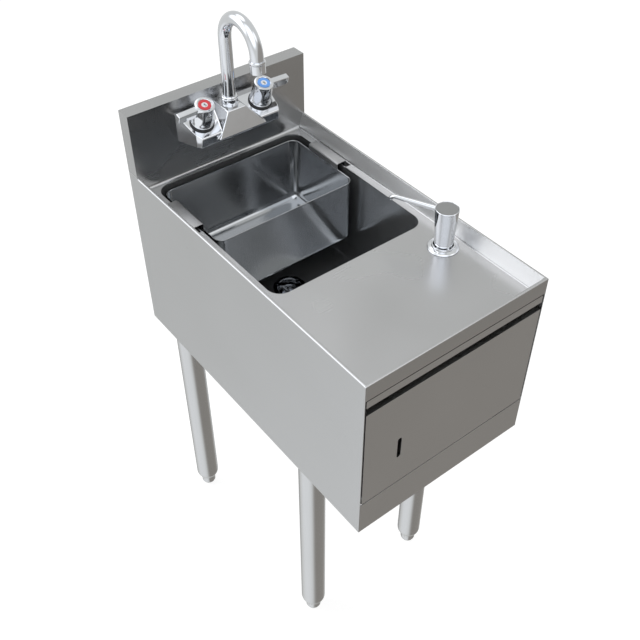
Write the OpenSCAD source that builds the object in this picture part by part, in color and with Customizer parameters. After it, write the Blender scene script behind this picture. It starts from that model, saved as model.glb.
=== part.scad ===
// Bar sink on four legs: a drawn bowl with a lift-out ice pan, a splash-mounted
// gooseneck faucet, a deck soap pump and a towel compartment behind a drop-down door.
// Origin: centre of the footprint at floor level.  +X right, -Y front, +Z up.

/* [Overall] */
// Width of the body over the side panels
body_w = 304.8; // [300:0.1:330]
// Depth of the body from the front face to the wall
body_d = 541.3; // [535:0.1:580]
// Height of the rim above the floor
rim_height = 744.5; // [700:0.5:860]
// Height of the side panels
panel_h = 290.9; // [285:0.1:320]
// Height of the backsplash above the rim
splash_h = 101.6; // [95:0.1:160]
// Thickness of the backsplash, front to back
splash_t = 24.9; // [24:0.1:30]
// Thickness of the sheet steel
sheet = 1.2; // [0.9:0.1:1.4]

/* [Deck] */
// Depth of the recessed deck below the rim
deck_drop = 24; // [20:0.5:28]
// Width of the flat top of the rim
rim_w = 4; // [3:0.1:5]
// How far the wall of the recess leans inwards on its way down
wall_run = 8; // [6:0.5:8]
// Corner radius of the recess
recess_r = 6; // [3:0.5:10]
// Cove radius between the deck and the backsplash
cove_r = 5; // [3:0.5:5.5]

/* [Bowl] */
// Deck left standing at each side of the bowl
bowl_side = 23.55; // [21.5:0.05:24.5]
// Deck in front of the bowl, from the front face
deck_front = 204.7; // [196:0.1:215]
// Corner radius of the bowl
bowl_r = 21; // [16:0.5:24]
// Depth of the bowl below the deck
bowl_depth = 152; // [145:0.5:156]
// Gap between the bowl and the backsplash
bowl_back_gap = 6; // [6:0.1:8]
// Fall of the floor towards the drain
drain_fall = 6; // [4:0.5:7]
// Radius of the dished part of the floor
dish_r = 60; // [40:1:80]

/* [Ice pan] */
// Gap at each side of the pan
pan_side_gap = 6.85; // [5.9:0.05:9.8]
// Length of the pan, front to back
pan_l = 152; // [130:0.5:160]
// Depth of the pan
pan_depth = 112.5; // [80:0.5:120]
// Rim of the pan below the deck
pan_drop = 6.5; // [5:0.1:9]
// Corner radius of the pan
pan_r = 15; // [10:0.5:20]
// Gap between the pan and the back of the bowl
pan_back_gap = 7; // [6:0.1:12]
// Length of each hanging tab
tab_l = 71.5; // [50:0.5:76]
// Reach of each tab outwards from the pan
tab_reach = 17.7; // [16:0.1:17.8]
// Top of the tabs above the deck
tab_rise = 3.5; // [3:0.1:5]
// Depth of the ledge that carries each tab, below the deck
ledge_drop = 8; // [4:0.5:12]
// Room for a tab at the front of its notch
notch_front = 10; // [9:0.5:12]
// Room for a tab at the back of its notch
notch_back = 4.5; // [3:0.5:8]

/* [Front] */
// Height of the apron under the rim
apron_h = 26; // [24:0.5:30]
// Gap between the apron and the rail over the towel slot
rail_gap = 1.6; // [1:0.1:3]
// Height of the rail
rail_h = 12.4; // [10:0.1:16]
// Set-back of the rail from the front face
rail_inset = 0.3; // [0:0.1:3]
// Height of the towel slot
slot_h = 12.4; // [10:0.1:16]
// Height of the door
door_h = 176.6; // [165:0.1:178]
// Gap at each side of the door
door_side_gap = 2; // [1.5:0.1:3]
// Gap under the door
door_foot_gap = 2.2; // [2:0.1:3]
// Depth of the door's folded edges
door_fold = 12; // [10:0.5:14]
// Height of the pivots above the door's lower edge
pivot_up = 7; // [6:0.5:9]
// Depth of the pivots behind the front face
pivot_in = 6; // [5:0.5:7]
// Radius of a pivot pin
pivot_r = 2; // [1.5:0.1:2.5]
// Width of the level window in the door
window_w = 6.8; // [5:0.1:8]
// Height of the level window in the door
window_h = 38; // [20:0.5:60]
// Window from the left edge of the body
window_x = 62.7; // [50:0.1:100]
// Window centre below the rim
window_down = 156.4; // [120:0.1:190]
// Length of the ears that stop the door, below the pivots
ear_l = 12; // [11:0.1:13]
// Gap between the pivots and the shelf's lip that the ears meet
ear_gap = 11; // [10.8:0.1:11.6]
// Gap between the towel space and the soap bottle
towel_back_gap = 4.1; // [4:0.1:15]
// Gap between the divider and the bowl
divider_gap = 16.7; // [14:0.1:18]

/* [Legs] */
// Outer diameter of a leg
leg_d = 41.3; // [38:0.1:42]
// Wall of a leg
leg_wall = 1.5; // [1.2:0.1:2]
// Centre of a leg from the side of the body
leg_side = 38.5; // [37:0.1:45]
// Centre of a front leg in front of the divider
front_leg_gap = 34.2; // [32:0.1:36]
// Centre of a rear leg from the wall
rear_leg_y = 39; // [38:0.1:60]
// Height of the crimped lower end above the floor
leg_end_z = 23.5; // [22:0.5:30]
// Length of the taper at the lower end
taper_l = 13; // [10:0.5:25]
// Radius of the lower end
leg_end_r = 14.8; // [14.5:0.1:18]
// Radius of a foot
foot_r = 13.4; // [12:0.1:14.5]
// Rounding of the underside of a foot
foot_round = 10; // [6:0.5:11]
// Radius of the threaded stem of a foot
stem_r = 8; // [6:0.1:9]
// Thread left in the leg when a foot is all the way out
stem_hold = 30; // [20:1:40]
// Length of the threaded plug in the end of a leg
plug_l = 40; // [20:1:45]
// Travel of a foot out of its leg
foot_travel = 25; // [10:1:30]
// Depth of the leg sockets
socket_l = 42; // [30:0.5:43]
// Width of the folds along the foot of the side panels
side_fold = 15; // [10:0.5:16]
// Width of the leg channels
channel_w = 60; // [56:0.5:66]
// Thickness of the leg channels
channel_t = 2; // [1.5:0.1:2.5]

/* [Faucet] */
// Distance between the two supplies
centres = 101.6; // [101:0.1:104]
// Half width of the body at the wall end
faucet_half = 78.1; // [76:0.1:80]
// Forward reach of the body
faucet_reach = 52.5; // [50:0.1:56]
// Underside of the body above the rim, at the backsplash
faucet_low = 34.3; // [32:0.1:38]
// Lean of the handles towards the user
handle_lean = 20; // [15:0.5:25]
// Handle base from the backsplash
handle_out = 26.7; // [25:0.1:28]
// Handle base above the rim
handle_up = 68.6; // [68:0.1:70]
// Height of a handle
handle_h = 34.2; // [30:0.1:40]
// Reach of a lever from its axis
lever_reach = 43.6; // [36:0.1:48]
// Spout axis from the backsplash
spout_out = 24.1; // [23.5:0.1:25]
// Outer radius of the spout tube
spout_r = 9.4; // [8.5:0.1:9.5]
// Bend radius of the spout
spout_bend = 38.4; // [34:0.1:44]
// Start of the bend above the rim
spout_rise = 183; // [150:0.5:200]
// Angle of the bend
spout_turn = 176; // [160:1:180]
// Straight end of the spout after the bend
spout_end = 20; // [16:0.5:26]

/* [Soap pump] */
// Centre of the pump from the right side of the body
soap_side = 40.8; // [39:0.1:43]
// Centre of the pump in front of the bowl
soap_gap = 55.6; // [54.8:0.1:58]
// Radius of the flange
soap_flange_r = 22; // [20:0.1:23]
// Radius of the pump head at its top
soap_top_r = 16.5; // [15.5:0.1:17]
// Radius of the pump head at its foot
soap_foot_r = 13; // [12:0.1:13.2]
// Top of the pump head above the deck
soap_h = 65.5; // [60:0.5:75]
// Stroke of the pump
soap_stroke = 15; // [10:0.5:16]
// Reach of the soap spout
soap_reach = 82; // [60:0.5:86]
// Turn of the soap spout from straight back
soap_turn = 25; // [0:1:40]
// Radius of the bottle
bottle_r = 34; // [28:0.5:35]
// Height of the bottle
bottle_h = 135; // [100:1:150]

/* [Drain] */
// Radius of the drain throat
throat_r = 19; // [17:0.1:20]
// Radius of the drain flange
drain_flange_r = 25.5; // [24:0.1:30]
// Outer radius of the tailpiece
tail_r = 19.05; // [18:0.01:20]
// Length of the tailpiece
tailpiece_l = 90; // [60:1:140]

/* [Hidden] */
$fn = 48;
eps = 0.01;         // overlap that makes cuts clean
through = 60;       // length of a cut that passes right through
fit = 0.06;         // radial clearance of a running fit
near = 0.3;         // gap between parts that only lie close

front_y = -body_d / 2;
back_y = body_d / 2;
face_y = back_y - splash_t;
left_x = -body_w / 2;
inner_x = body_w / 2 - sheet;
rim_z = rim_height;
deck_z = rim_z - deck_drop;
under_deck_z = deck_z - sheet;
panel_z = rim_z - panel_h;

// bowl and pan
bowl_back_y = face_y - bowl_back_gap;
bowl_front_y = front_y + deck_front;
bowl_w = body_w - 2 * bowl_side;
bowl_l = bowl_back_y - bowl_front_y;
bowl_y = (bowl_back_y + bowl_front_y) / 2;
bowl_floor_z = deck_z - bowl_depth;
drain_z = bowl_floor_z - drain_fall;
pan_w = bowl_w - 2 * pan_side_gap;
pan_back_y = bowl_back_y - pan_back_gap;
pan_y = pan_back_y - pan_l / 2;
pan_rim_z = deck_z - pan_drop;
tab_top_z = deck_z + tab_rise;
ledge_z = deck_z - ledge_drop;
tab_x = pan_w / 2 - sheet + tab_reach;
notch_gap = 1.7;
notch_x = tab_x + notch_gap;
notch_y0 = pan_y - tab_l / 2 - notch_front;
notch_y1 = pan_y + tab_l / 2 + notch_back;

// front
apron_z = rim_z - apron_h;
rail_top_z = apron_z - rail_gap;
rail_z = rail_top_z - rail_h;
door_top_z = rail_z - slot_h;
door_z = door_top_z - door_h;
lower_top_z = door_z - door_foot_gap;
door_half = inner_x - door_side_gap;
pivot_y = front_y + pivot_in;
pivot_z = door_z + pivot_up;
pivot_flare = 2.5;
pivot_head_r = pivot_r + pivot_flare;
pivot_grip = 2;
ear_half = 3;
apron_return = 9.5;
rail_return = 12;
rail_lip = 16;
tongue_x = 100;
tongue_w = 16;
tongue_in = 2;
tongue_t = 5;
fold_w = 20;
shelf_y = pivot_y + ear_gap;
shelf_down = 8;
shelf_z = pivot_z - shelf_down;
shelf_lip = 16;
steer_down = 40;
steer_z = rail_z - steer_down;
steer_lean = 35;
steer_w = 24;
catch_w = 9;
catch_l = 18;
catch_down = 8;
catch_d = 9.7;
divider_front_y = bowl_front_y - divider_gap;

// legs
leg_r = leg_d / 2;
leg_x = body_w / 2 - leg_side;
front_leg = divider_front_y - front_leg_gap;
rear_leg = back_y - rear_leg_y;
flange_z = panel_z + sheet;
channel_h = 45;
web_z = flange_z + channel_h;
back_fold = 14;
splash_fold = 12;
taper_nose = 4;
taper_tail = 2;
taper_step = 1.6;
foot_neck = 4;
stem_l = foot_travel + stem_hold;
socket_wall = 3.4;
set_screw_up = 12;
set_screw_r = 3;
set_screw_l = 8;

// faucet: distances forward of the backsplash face, heights above the rim
faucet_front_low = 42.9;
faucet_front_top = 55.3;
faucet_brow = 5;
faucet_side_in = 6.7;
faucet_side_run = 10;
faucet_end_in = 11.4;
block_low = 58;
block_half = 34.3;
block_top = 80.6;
block_top_half = 15;
block_top_reach = 41.7;
block_slab = 1;
nut_r = 12.2;
nut_h = 14.5;
nut_crown = 3;
nut_crown_in = 1.5;
bush_t = 1.8;
bush_h = 5;
spout_wall = 1.6;
spout_dip = 11;
aerator_wall = 1.6;
aerator_h = 13;
aerator_cap = 4;
spout_y = face_y - spout_out;
spout_bore = spout_r - spout_wall;
spout_foot_z = rim_z + block_top - spout_dip;
handle_y = face_y - handle_out;
handle_z = rim_z + handle_up;
bonnet_r = 18;
bonnet_t = 2.8;
stem_top_r = 4;
hub_r = 16.8;
hub_top_r = 14.4;
hub_top = handle_h + bonnet_t + near;
flute_r = 16;
flute_out = 13.8;
flute_gap = 6;
lever_w = 9.2;
lever_drop = 1.5;
lever_fall = 2;
lever_tip = 11.5;
lever_nose = 4;
lever_root = 15;
index_r = 9.8;
index_bore = 2.9;
index_t = 1.7;
index_in = 1.4;
screw_r = 1.6;
screw_head_r = 2.7;
screw_head_t = 1.8;
screw_hex_r = 1.1;
shank_up = 50;
shank_z = rim_z + shank_up;
shank_r = 10.45;
shank_wall = 3;
shank_in = 14.9;
locknut_h = 4;
locknut_flats = 26;
elbow_r = 12.3;
elbow_l = 19;
elbow_y = face_y + sheet + locknut_h + 0.1;
nipple_end_y = elbow_y + 8;
drop_r = 8.5;
drop_y = elbow_y + elbow_l - drop_r - 0.2;
tail_thread_r = 7.15;
tail_thread_l = 15;
tail_wall = 2;
hose_half = 16;
elbow_drop = 60;
elbow_low_z = rim_z - elbow_drop;
valve_l = 12;
valve_r = 7;

// soap
soap_px = -left_x - soap_side;
soap_py = bowl_front_y - soap_gap;
soap_shank_r = 17;
soap_nut_flats = 2 * soap_shank_r + 10;
soap_nut_h = 6;
soap_flange_t = 2;
soap_flange_in = 2.5;
soap_tip_r = 2.9;
soap_pipe_r = 3.6;
soap_pipe_down = 8;
soap_tip_bend = 8;
soap_tip_turn = 70;
soap_tip_taper = 14;
soap_shank_l = 36;
soap_shank_z = deck_z - soap_shank_l;
soap_well_r = 14.4;
soap_well_d = 12;
soap_well_z = deck_z - soap_well_d;
soap_foot_up = 7;
soap_foot_z = deck_z + soap_foot_up;
soap_top_z = deck_z + soap_h;
soap_crown = 9;
pump_r = 10;
pump_lip = 2;
pump_wall = 2.5;
pump_stem_r = 6;
piston_down = 20;
piston_z = deck_z - piston_down;
piston_h = 5;
spring_room = 11;
pump_z = piston_z - soap_stroke - spring_room;
dip_r = 3;
wire_r = 0.8;
coil_turns = 5.5;
neck_down = 26;
neck_z = deck_z - neck_down;
neck_r = 20;
shoulder_z = pump_z - pump_lip;
bottle_wall = 1.6;
bottle_slope = 10;
bottle_neck_gap = 4.5;
dip_wall = 1;
dip_up = 8;
coil_steps = 14;
coil_sides = 6;
coil_rings = floor(coil_turns * coil_steps);
coil_r = pump_r - wire_r - 0.6;
coil_h = piston_z - pump_z - 2 * wire_r;

// drain
drain_seat_r = drain_flange_r + 1;
drain_lip_t = 2;
throat_l = 38;
throat_wall = 3;
strainer_down = 14;
strainer_t = 3;
strainer_bar = 3;
strainer_rim = 2;
gasket_t = 3;
drain_nut_t = 9;
drain_nut_flats = 2 * drain_flange_r + 6;
tail_wall_t = 1;
tail_collar_r = throat_r + 5.5;
tail_collar_low = 8;
tail_collar_up = 9;

steel = [0.74, 0.75, 0.75];
steel_dark = [0.55, 0.55, 0.54];
chrome = [0.85, 0.86, 0.88];
black = [0.06, 0.06, 0.06];
brass = [0.74, 0.62, 0.36];
clear = [0.88, 0.9, 0.9];

// ---------- shared shapes ----------

// a box from one corner to the other
module block(a, b) {
  translate(a) cube([b[0] - a[0], b[1] - a[1], b[2] - a[2]]);
}

// a rectangle with round corners, centred
module round_rect(w, d, r) {
  square([w - 2 * r, d], center = true);
  square([w, d - 2 * r], center = true);
  for (x = [-1, 1], y = [-1, 1])
    translate([x * (w / 2 - r), y * (d / 2 - r)]) circle(r);
}

// a tub of round corners and a coved floor, its mouth at z = 0
module tub(w, l, depth, r) {
  hull() for (x = [-1, 1], y = [-1, 1])
    translate([x * (w / 2 - r), y * (l / 2 - r), 0]) {
      translate([0, 0, -depth + r]) sphere(r, $fn = 32);
      translate([0, 0, -depth]) cylinder(h = 1, r = r / 6, $fn = 32);
      translate([0, 0, -1]) cylinder(h = 1, r = r, $fn = 32);
    }
}

// a ring along Z
module ring(ro, ri, h) {
  difference() {
    cylinder(h = h, r = ro);
    translate([0, 0, -1]) cylinder(h = h + 2, r = ri);
  }
}

// a hexagon nut along Z, across flats
module hex_nut(flats, ri, h) {
  difference() {
    cylinder(h = h, r = flats / sqrt(3), $fn = 6);
    translate([0, 0, -1]) cylinder(h = h + 2, r = ri);
  }
}

// the recess of the deck: a pocket whose walls lean inwards, open at the back
module recess(grow, down, up) {
  half = body_w / 2 - rim_w + grow;
  foot = half - wall_run;
  y0 = front_y + rim_w - grow;
  hull() {
    recess_outline(half, y0, rim_z, up);
    recess_outline(foot, y0 + wall_run, deck_z - down, eps);
  }
}

module recess_outline(half, y0, z, h) {
  translate([0, 0, z]) linear_extrude(h) {
    for (x = [-1, 1]) translate([x * (half - recess_r), y0 + recess_r])
      circle(recess_r, $fn = 32);
    translate([-half, y0 + recess_r]) square([2 * half, face_y - y0 - recess_r]);
  }
}

// ---------- deck and bowl ----------

module deck_tray() color(steel) difference() {
  union() {
    block([left_x, front_y, rim_z - sheet], [-left_x, face_y, rim_z]);
    recess(sheet, sheet, eps / 10);
  }
  difference() {
    recess(0, 0, 1);
    block([left_x, face_y, panel_z], [-left_x, back_y, rim_z + 2]);
  }
  block([left_x - 1, face_y, panel_z], [1 - left_x, back_y, rim_z + 2]);
  translate([0, bowl_y, under_deck_z - 1])
    linear_extrude(sheet + 2) round_rect(bowl_w, bowl_l, bowl_r);
  block([-notch_x, notch_y0, under_deck_z - 1], [notch_x, notch_y1, deck_z + 1]);
  translate([soap_px, soap_py, under_deck_z - 1])
    cylinder(h = sheet + 2, r = soap_shank_r + 0.5);
}

module sink_bowl() color(steel) difference() {
  translate([0, bowl_y, under_deck_z]) union() {
    tub(bowl_w + 2 * sheet, bowl_l + 2 * sheet, bowl_depth, bowl_r + sheet);
    translate([0, 0, -bowl_depth - drain_fall])
      cylinder(h = drain_fall + eps, r1 = drain_seat_r + 2, r2 = dish_r + 2);
  }
  translate([0, bowl_y, deck_z]) {
    tub(bowl_w, bowl_l, bowl_depth, bowl_r);
    translate([0, 0, -bowl_depth - drain_fall])
      cylinder(h = drain_fall + eps, r1 = drain_seat_r, r2 = dish_r);
  }
  block([left_x, front_y, under_deck_z], [-left_x, back_y, rim_z]);
  translate([0, bowl_y, drain_z - 10]) cylinder(h = 20, r = throat_r + throat_wall + 0.5);
}

module backsplash() color(steel) {
  difference() {
    union() {
      block([left_x, face_y, rim_z], [-left_x, back_y, rim_z + splash_h]);
      block([-inner_x, face_y, under_deck_z], [inner_x, face_y + sheet, rim_z + 1]);
    }
    block([-inner_x, face_y + sheet, rim_z - 1],
          [inner_x, back_y + 1, rim_z + splash_h - sheet]);
    for (x = [-1, 1]) translate([x * centres / 2, face_y - 1, shank_z])
      rotate([-90, 0, 0]) cylinder(h = sheet + 2, r = shank_r + 0.6);
  }
  // folded edges at the back
  for (x = [-1, 1]) mirror_x(x)
    block([inner_x - splash_fold, back_y - sheet, rim_z],
          [inner_x, back_y, rim_z + splash_h - sheet]);
  block([splash_fold - inner_x, back_y - sheet, rim_z + splash_h - splash_fold],
        [inner_x - splash_fold, back_y, rim_z + splash_h - sheet]);
  // cove between the deck and the face
  cove_half = body_w / 2 - rim_w - wall_run - 0.2;
  translate([-cove_half, face_y, deck_z]) rotate([90, 0, 90])
    linear_extrude(2 * cove_half) difference() {
      translate([-cove_r, 0]) square(cove_r);
      translate([-cove_r, cove_r]) circle(cove_r);
    }
}

// mirrors a shape to the left when side is -1
module mirror_x(side) {
  if (side > 0) children();
  else mirror([1, 0, 0]) children();
}

// ---------- panels ----------

module side_panel(side) color(steel) mirror_x(side) {
  block([inner_x, front_y, panel_z], [inner_x + sheet, face_y, rim_z - sheet]);
  block([inner_x, face_y, panel_z], [inner_x + sheet, back_y, rim_z]);
  // inward folds along the bottom and the back
  block([inner_x - side_fold, front_y + fold_w, panel_z], [inner_x, back_y, flange_z]);
  block([inner_x - back_fold, back_y - sheet, flange_z], [inner_x, back_y, under_deck_z - back_fold]);
}

module left_side_panel() side_panel(-1);
module right_side_panel() side_panel(1);

module front_apron() color(steel) {
  block([-inner_x, front_y, apron_z], [inner_x, front_y + sheet, rim_z - sheet]);
  block([-inner_x, front_y + sheet, apron_z], [inner_x, front_y + apron_return, apron_z + sheet]);
}

module towel_slot_rail() color(steel_dark) {
  y = front_y + rail_inset;
  block([-door_half, y, rail_z], [door_half, y + sheet, rail_top_z]);
  block([-door_half, y, rail_z], [door_half, y + rail_lip, rail_z + sheet]);
  block([-door_half, y, rail_top_z - sheet], [door_half, y + rail_return, rail_top_z]);
  // two tongues hold the rail to the apron's fold
  for (x = [-1, 1]) translate([x * tongue_x - tongue_w / 2, y + tongue_in, rail_top_z])
    cube([tongue_w, tongue_t, rail_gap]);
}

module lower_front_panel() color(steel) {
  block([-inner_x, front_y, panel_z], [inner_x, front_y + sheet, lower_top_z]);
  block([-inner_x, front_y, panel_z], [inner_x, front_y + fold_w, flange_z]);
}

module divider_panel() color(steel)
  block([-inner_x, divider_front_y, flange_z],
        [inner_x, divider_front_y + sheet, under_deck_z]);

module towel_shelf() color(steel) {
  y1 = soap_py - bottle_r - towel_back_gap;
  block([-inner_x, shelf_y, shelf_z], [inner_x, y1, shelf_z + sheet]);
  block([-inner_x, y1 - sheet, shelf_z], [inner_x, y1, steer_z]);
  block([-inner_x, shelf_y, shelf_z], [inner_x, shelf_y + sheet, shelf_z + shelf_lip]);
  // the top of the back leans forward to steer the towels to the slot
  translate([-inner_x, y1, steer_z]) rotate([steer_lean, 0, 0])
    translate([0, -sheet, 0]) cube([2 * inner_x, sheet, steer_w]);
}

// ---------- ice pan and its ledges ----------

module pan_ledge(side) color(steel) mirror_x(side) {
  x0 = bowl_w / 2 + sheet;
  x1 = notch_x + sheet;
  block([x0, notch_y0, ledge_z - sheet], [x1, notch_y1, ledge_z]);
  block([x1 - sheet, notch_y0, ledge_z - sheet], [x1, notch_y1, under_deck_z]);
}

module pan_ledge_left() pan_ledge(-1);
module pan_ledge_right() pan_ledge(1);

module ice_pan() color(steel) {
  difference() {
    translate([0, pan_y, pan_rim_z]) tub(pan_w, pan_l, pan_depth, pan_r);
    translate([0, pan_y, pan_rim_z + eps])
      tub(pan_w - 2 * sheet, pan_l - 2 * sheet, pan_depth - sheet, pan_r - sheet);
  }
  for (side = [-1, 1]) mirror_x(side) pan_tab();
}

// one hanging tab: a riser, a flat top and a lip that stands on the ledge
module pan_tab() {
  x = pan_w / 2;
  y0 = pan_y - tab_l / 2;
  y1 = pan_y + tab_l / 2;
  block([x - sheet, y0, pan_rim_z - 2], [x, y1, tab_top_z]);
  block([x - sheet, y0, tab_top_z - sheet], [tab_x, y1, tab_top_z]);
  block([tab_x - sheet, y0, ledge_z], [tab_x, y1, tab_top_z]);
}

// ---------- legs ----------

module at_leg(side, y) translate([side * leg_x, y, 0]) children();

module leg_channel(y) color(steel) difference() {
  block([-inner_x, y - channel_w / 2, flange_z], [inner_x, y + channel_w / 2, web_z + channel_t]);
  block([-inner_x - 1, y - channel_w / 2 + channel_t, flange_z - 1],
        [inner_x + 1, y + channel_w / 2 - channel_t, web_z]);
}

module front_leg_channel() leg_channel(front_leg);
module rear_leg_channel() difference() {
  leg_channel(rear_leg);
  // cut-outs at the back for the two supply hoses
  for (x = [-1, 1]) translate([x * centres / 2, drop_y, flange_z - 1])
    block([-hose_half, -hose_half, 0], [hose_half, hose_half, channel_h + channel_t + 2]);
}

module leg_sockets() color(steel) for (x = [-1, 1], y = [front_leg, rear_leg])
  at_leg(x, y) translate([0, 0, web_z - socket_l]) difference() {
    cylinder(h = socket_l, r = leg_r + socket_wall);
    translate([0, 0, -1]) cylinder(h = socket_l + 2, r = leg_r + near / 2);
    translate([0, 0, set_screw_up]) rotate([0, -90 * x, 0])
      cylinder(h = leg_r + 10, r = set_screw_r);
  }

module leg(side, y) color(steel) at_leg(side, y) rotate_extrude() {
  taper_z = leg_end_z + taper_l;
  plug_z = leg_end_z + plug_l;
  bore = stem_r + fit;
  polygon([
    [bore, leg_end_z], [leg_end_r, leg_end_z],
    [leg_r - taper_step, taper_z - taper_nose], [leg_r, taper_z + taper_tail],
    [leg_r, web_z], [leg_r - leg_wall, web_z], [leg_r - leg_wall, plug_z], [bore, plug_z]
  ]);
}

module leg_front_left() leg(-1, front_leg);
module leg_front_right() leg(1, front_leg);
module leg_rear_left() leg(-1, rear_leg);
module leg_rear_right() leg(1, rear_leg);

// a bullet foot with six wrench flats and a round collar, on a threaded stem
module foot(side, y) color(steel) at_leg(side, y) {
  intersection() {
    rotate_extrude() {
      translate([0, foot_round]) square([foot_r, leg_end_z - foot_round]);
      square([foot_r - foot_round, foot_round]);
      intersection() {
        translate([foot_r - foot_round, foot_round]) circle(foot_round);
        square([foot_r, foot_round]);
      }
    }
    union() {
      cylinder(h = leg_end_z - foot_neck, r = foot_r * 1.1, $fn = 6);
      translate([0, 0, leg_end_z - foot_neck - eps])
        cylinder(h = foot_neck + eps, r = foot_r + 1);
      cylinder(h = foot_round * 0.6, r = foot_r + 1);
    }
  }
  translate([0, 0, leg_end_z - 1]) cylinder(h = stem_l + 1, r = stem_r);
}

module foot_front_left() foot(-1, front_leg);
module foot_front_right() foot(1, front_leg);
module foot_rear_left() foot(-1, rear_leg);
module foot_rear_right() foot(1, rear_leg);

module leg_set_screws() color(steel_dark) for (x = [-1, 1], y = [front_leg, rear_leg])
  at_leg(x, y) translate([0, 0, web_z - socket_l + set_screw_up]) rotate([0, -90 * x, 0])
    translate([0, 0, leg_r]) cylinder(h = set_screw_l, r = set_screw_r);

// ---------- towel door ----------

module towel_door() color(steel_dark) difference() {
  union() {
    block([-door_half, front_y, door_z], [door_half, front_y + sheet, door_top_z]);
    for (x = [-1, 1]) mirror_x(x)
      block([door_half - sheet, front_y, door_z], [door_half, front_y + door_fold, door_top_z]);
    block([-door_half, front_y, door_top_z - sheet], [door_half, front_y + door_fold, door_top_z]);
    block([-door_half, front_y, door_z], [door_half, front_y + door_fold - 2, door_z + sheet]);
    // ears at the foot of the side folds
    for (x = [-1, 1]) mirror_x(x)
      block([door_half - sheet, pivot_y - ear_half, pivot_z - ear_l],
            [door_half, pivot_y + ear_half, pivot_z]);
  }
  translate([left_x + window_x, front_y - 1, rim_z - window_down]) rotate([-90, 0, 0])
    linear_extrude(sheet + 2) {
      square([window_w, window_h - window_w], center = true);
      for (s = [-1, 1]) translate([0, s * (window_h - window_w) / 2]) circle(window_w / 2);
    }
  for (x = [-1, 1]) translate([x * (door_half - sheet / 2), pivot_y, pivot_z])
    rotate([0, 90, 0]) cylinder(h = sheet + 2, r = pivot_r + fit, center = true);
}

module door_pivots() color(steel_dark) for (x = [-1, 1]) mirror_x(x)
  translate([0, pivot_y, pivot_z]) rotate([0, 90, 0]) {
    translate([0, 0, door_half - sheet - pivot_grip])
      cylinder(h = inner_x - door_half + sheet + pivot_grip, r = pivot_r);
    translate([0, 0, door_half + near]) cylinder(h = door_side_gap - near, r = pivot_head_r);
  }

module door_catches() color(black) for (x = [-1, 1]) mirror_x(x)
  translate([inner_x - catch_w, front_y + door_fold + near, door_top_z - catch_down - catch_l])
    cube([catch_w, catch_d, catch_l]);

// ---------- drain ----------

module drain_flange() color(chrome) translate([0, bowl_y, 0]) difference() {
  union() {
    translate([0, 0, drain_z]) cylinder(h = drain_lip_t, r = drain_flange_r);
    translate([0, 0, drain_z - throat_l]) cylinder(h = throat_l + 1, r = throat_r + throat_wall);
  }
  translate([0, 0, drain_z - throat_l - 1]) cylinder(h = throat_l + 5, r = throat_r);
}

module drain_strainer() color(steel) translate([0, bowl_y, drain_z - strainer_down]) {
  half = throat_r - strainer_rim / 2;
  ring(throat_r, throat_r - strainer_rim, strainer_t);
  block([-half, -strainer_bar / 2, 0], [half, strainer_bar / 2, strainer_t]);
  block([-strainer_bar / 2, -half, 0], [strainer_bar / 2, half, strainer_t]);
}

module drain_gasket() color(black) translate([0, bowl_y, drain_z - sheet - gasket_t])
  ring(drain_flange_r + 2, throat_r + throat_wall, gasket_t);

module drain_locknut() color(brass)
  translate([0, bowl_y, drain_z - sheet - gasket_t - drain_nut_t])
    hex_nut(drain_nut_flats, throat_r + throat_wall, drain_nut_t);

module drain_tailpiece() color(chrome) translate([0, bowl_y, 0]) {
  top = drain_z - throat_l;
  translate([0, 0, top - tailpiece_l]) ring(tail_r, tail_r - tail_wall_t, tailpiece_l);
  translate([0, 0, top - tail_collar_low]) ring(tail_collar_r, tail_r, tail_collar_low);
  translate([0, 0, top]) ring(tail_collar_r, throat_r + throat_wall, tail_collar_up);
}

// ---------- faucet ----------

// moves a shape to the foot of a handle, with +Z along its leaning axis
module at_handle(side) translate([side * centres / 2, handle_y, handle_z])
  rotate([handle_lean, 0, 0]) children();

// side outline of the faucet body: distance forward, height above the rim
function faucet_side() = [
  [0, faucet_low], [faucet_reach - 3, faucet_front_low],
  [faucet_reach, faucet_front_top],
  [faucet_reach - faucet_brow,
   handle_up - (faucet_reach - faucet_brow - handle_out) * tan(handle_lean)],
  [0, handle_up + handle_out * tan(handle_lean)]
];

module faucet_body() color(chrome) difference() {
  union() {
    intersection() {
      translate([-faucet_half, face_y, rim_z]) rotate([0, 0, -90]) rotate([90, 0, 0])
        mirror([0, 0, 1]) linear_extrude(2 * faucet_half) polygon(faucet_side());
      translate([0, face_y, rim_z]) linear_extrude(splash_h) polygon([
        [-faucet_half, 0], [faucet_half, 0],
        [faucet_half - faucet_side_in, faucet_side_run - faucet_reach],
        [faucet_half - faucet_end_in, -faucet_reach], [faucet_end_in - faucet_half, -faucet_reach],
        [faucet_side_in - faucet_half, faucet_side_run - faucet_reach]
      ]);
    }
    // centre block with a sloping front
    hull() {
      block([-block_half, face_y - faucet_reach - 0.5, rim_z + block_low - block_slab],
            [block_half, face_y, rim_z + block_low]);
      block([-block_top_half, face_y - block_top_reach, rim_z + block_top - block_slab],
            [block_top_half, face_y, rim_z + block_top]);
    }
  }
  for (x = [-1, 1]) {
    at_handle(x) translate([0, 0, -valve_l]) cylinder(h = valve_l + 1, r = valve_r);
    translate([x * centres / 2, face_y + 1, shank_z]) rotate([90, 0, 0])
      cylinder(h = shank_in + 1, r = shank_r);
  }
  translate([0, spout_y, spout_foot_z]) cylinder(h = through, r = spout_r + fit);
  translate([0, spout_y, rim_z + block_low]) cylinder(h = through, r = valve_r);
}

// threaded nipple through the backsplash, one each side
module shank(side) color(brass) translate([side * centres / 2, face_y - shank_in, shank_z])
  rotate([-90, 0, 0]) ring(shank_r, shank_r - shank_wall, nipple_end_y - face_y + shank_in);

module hot_shank() shank(-1);
module cold_shank() shank(1);

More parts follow.
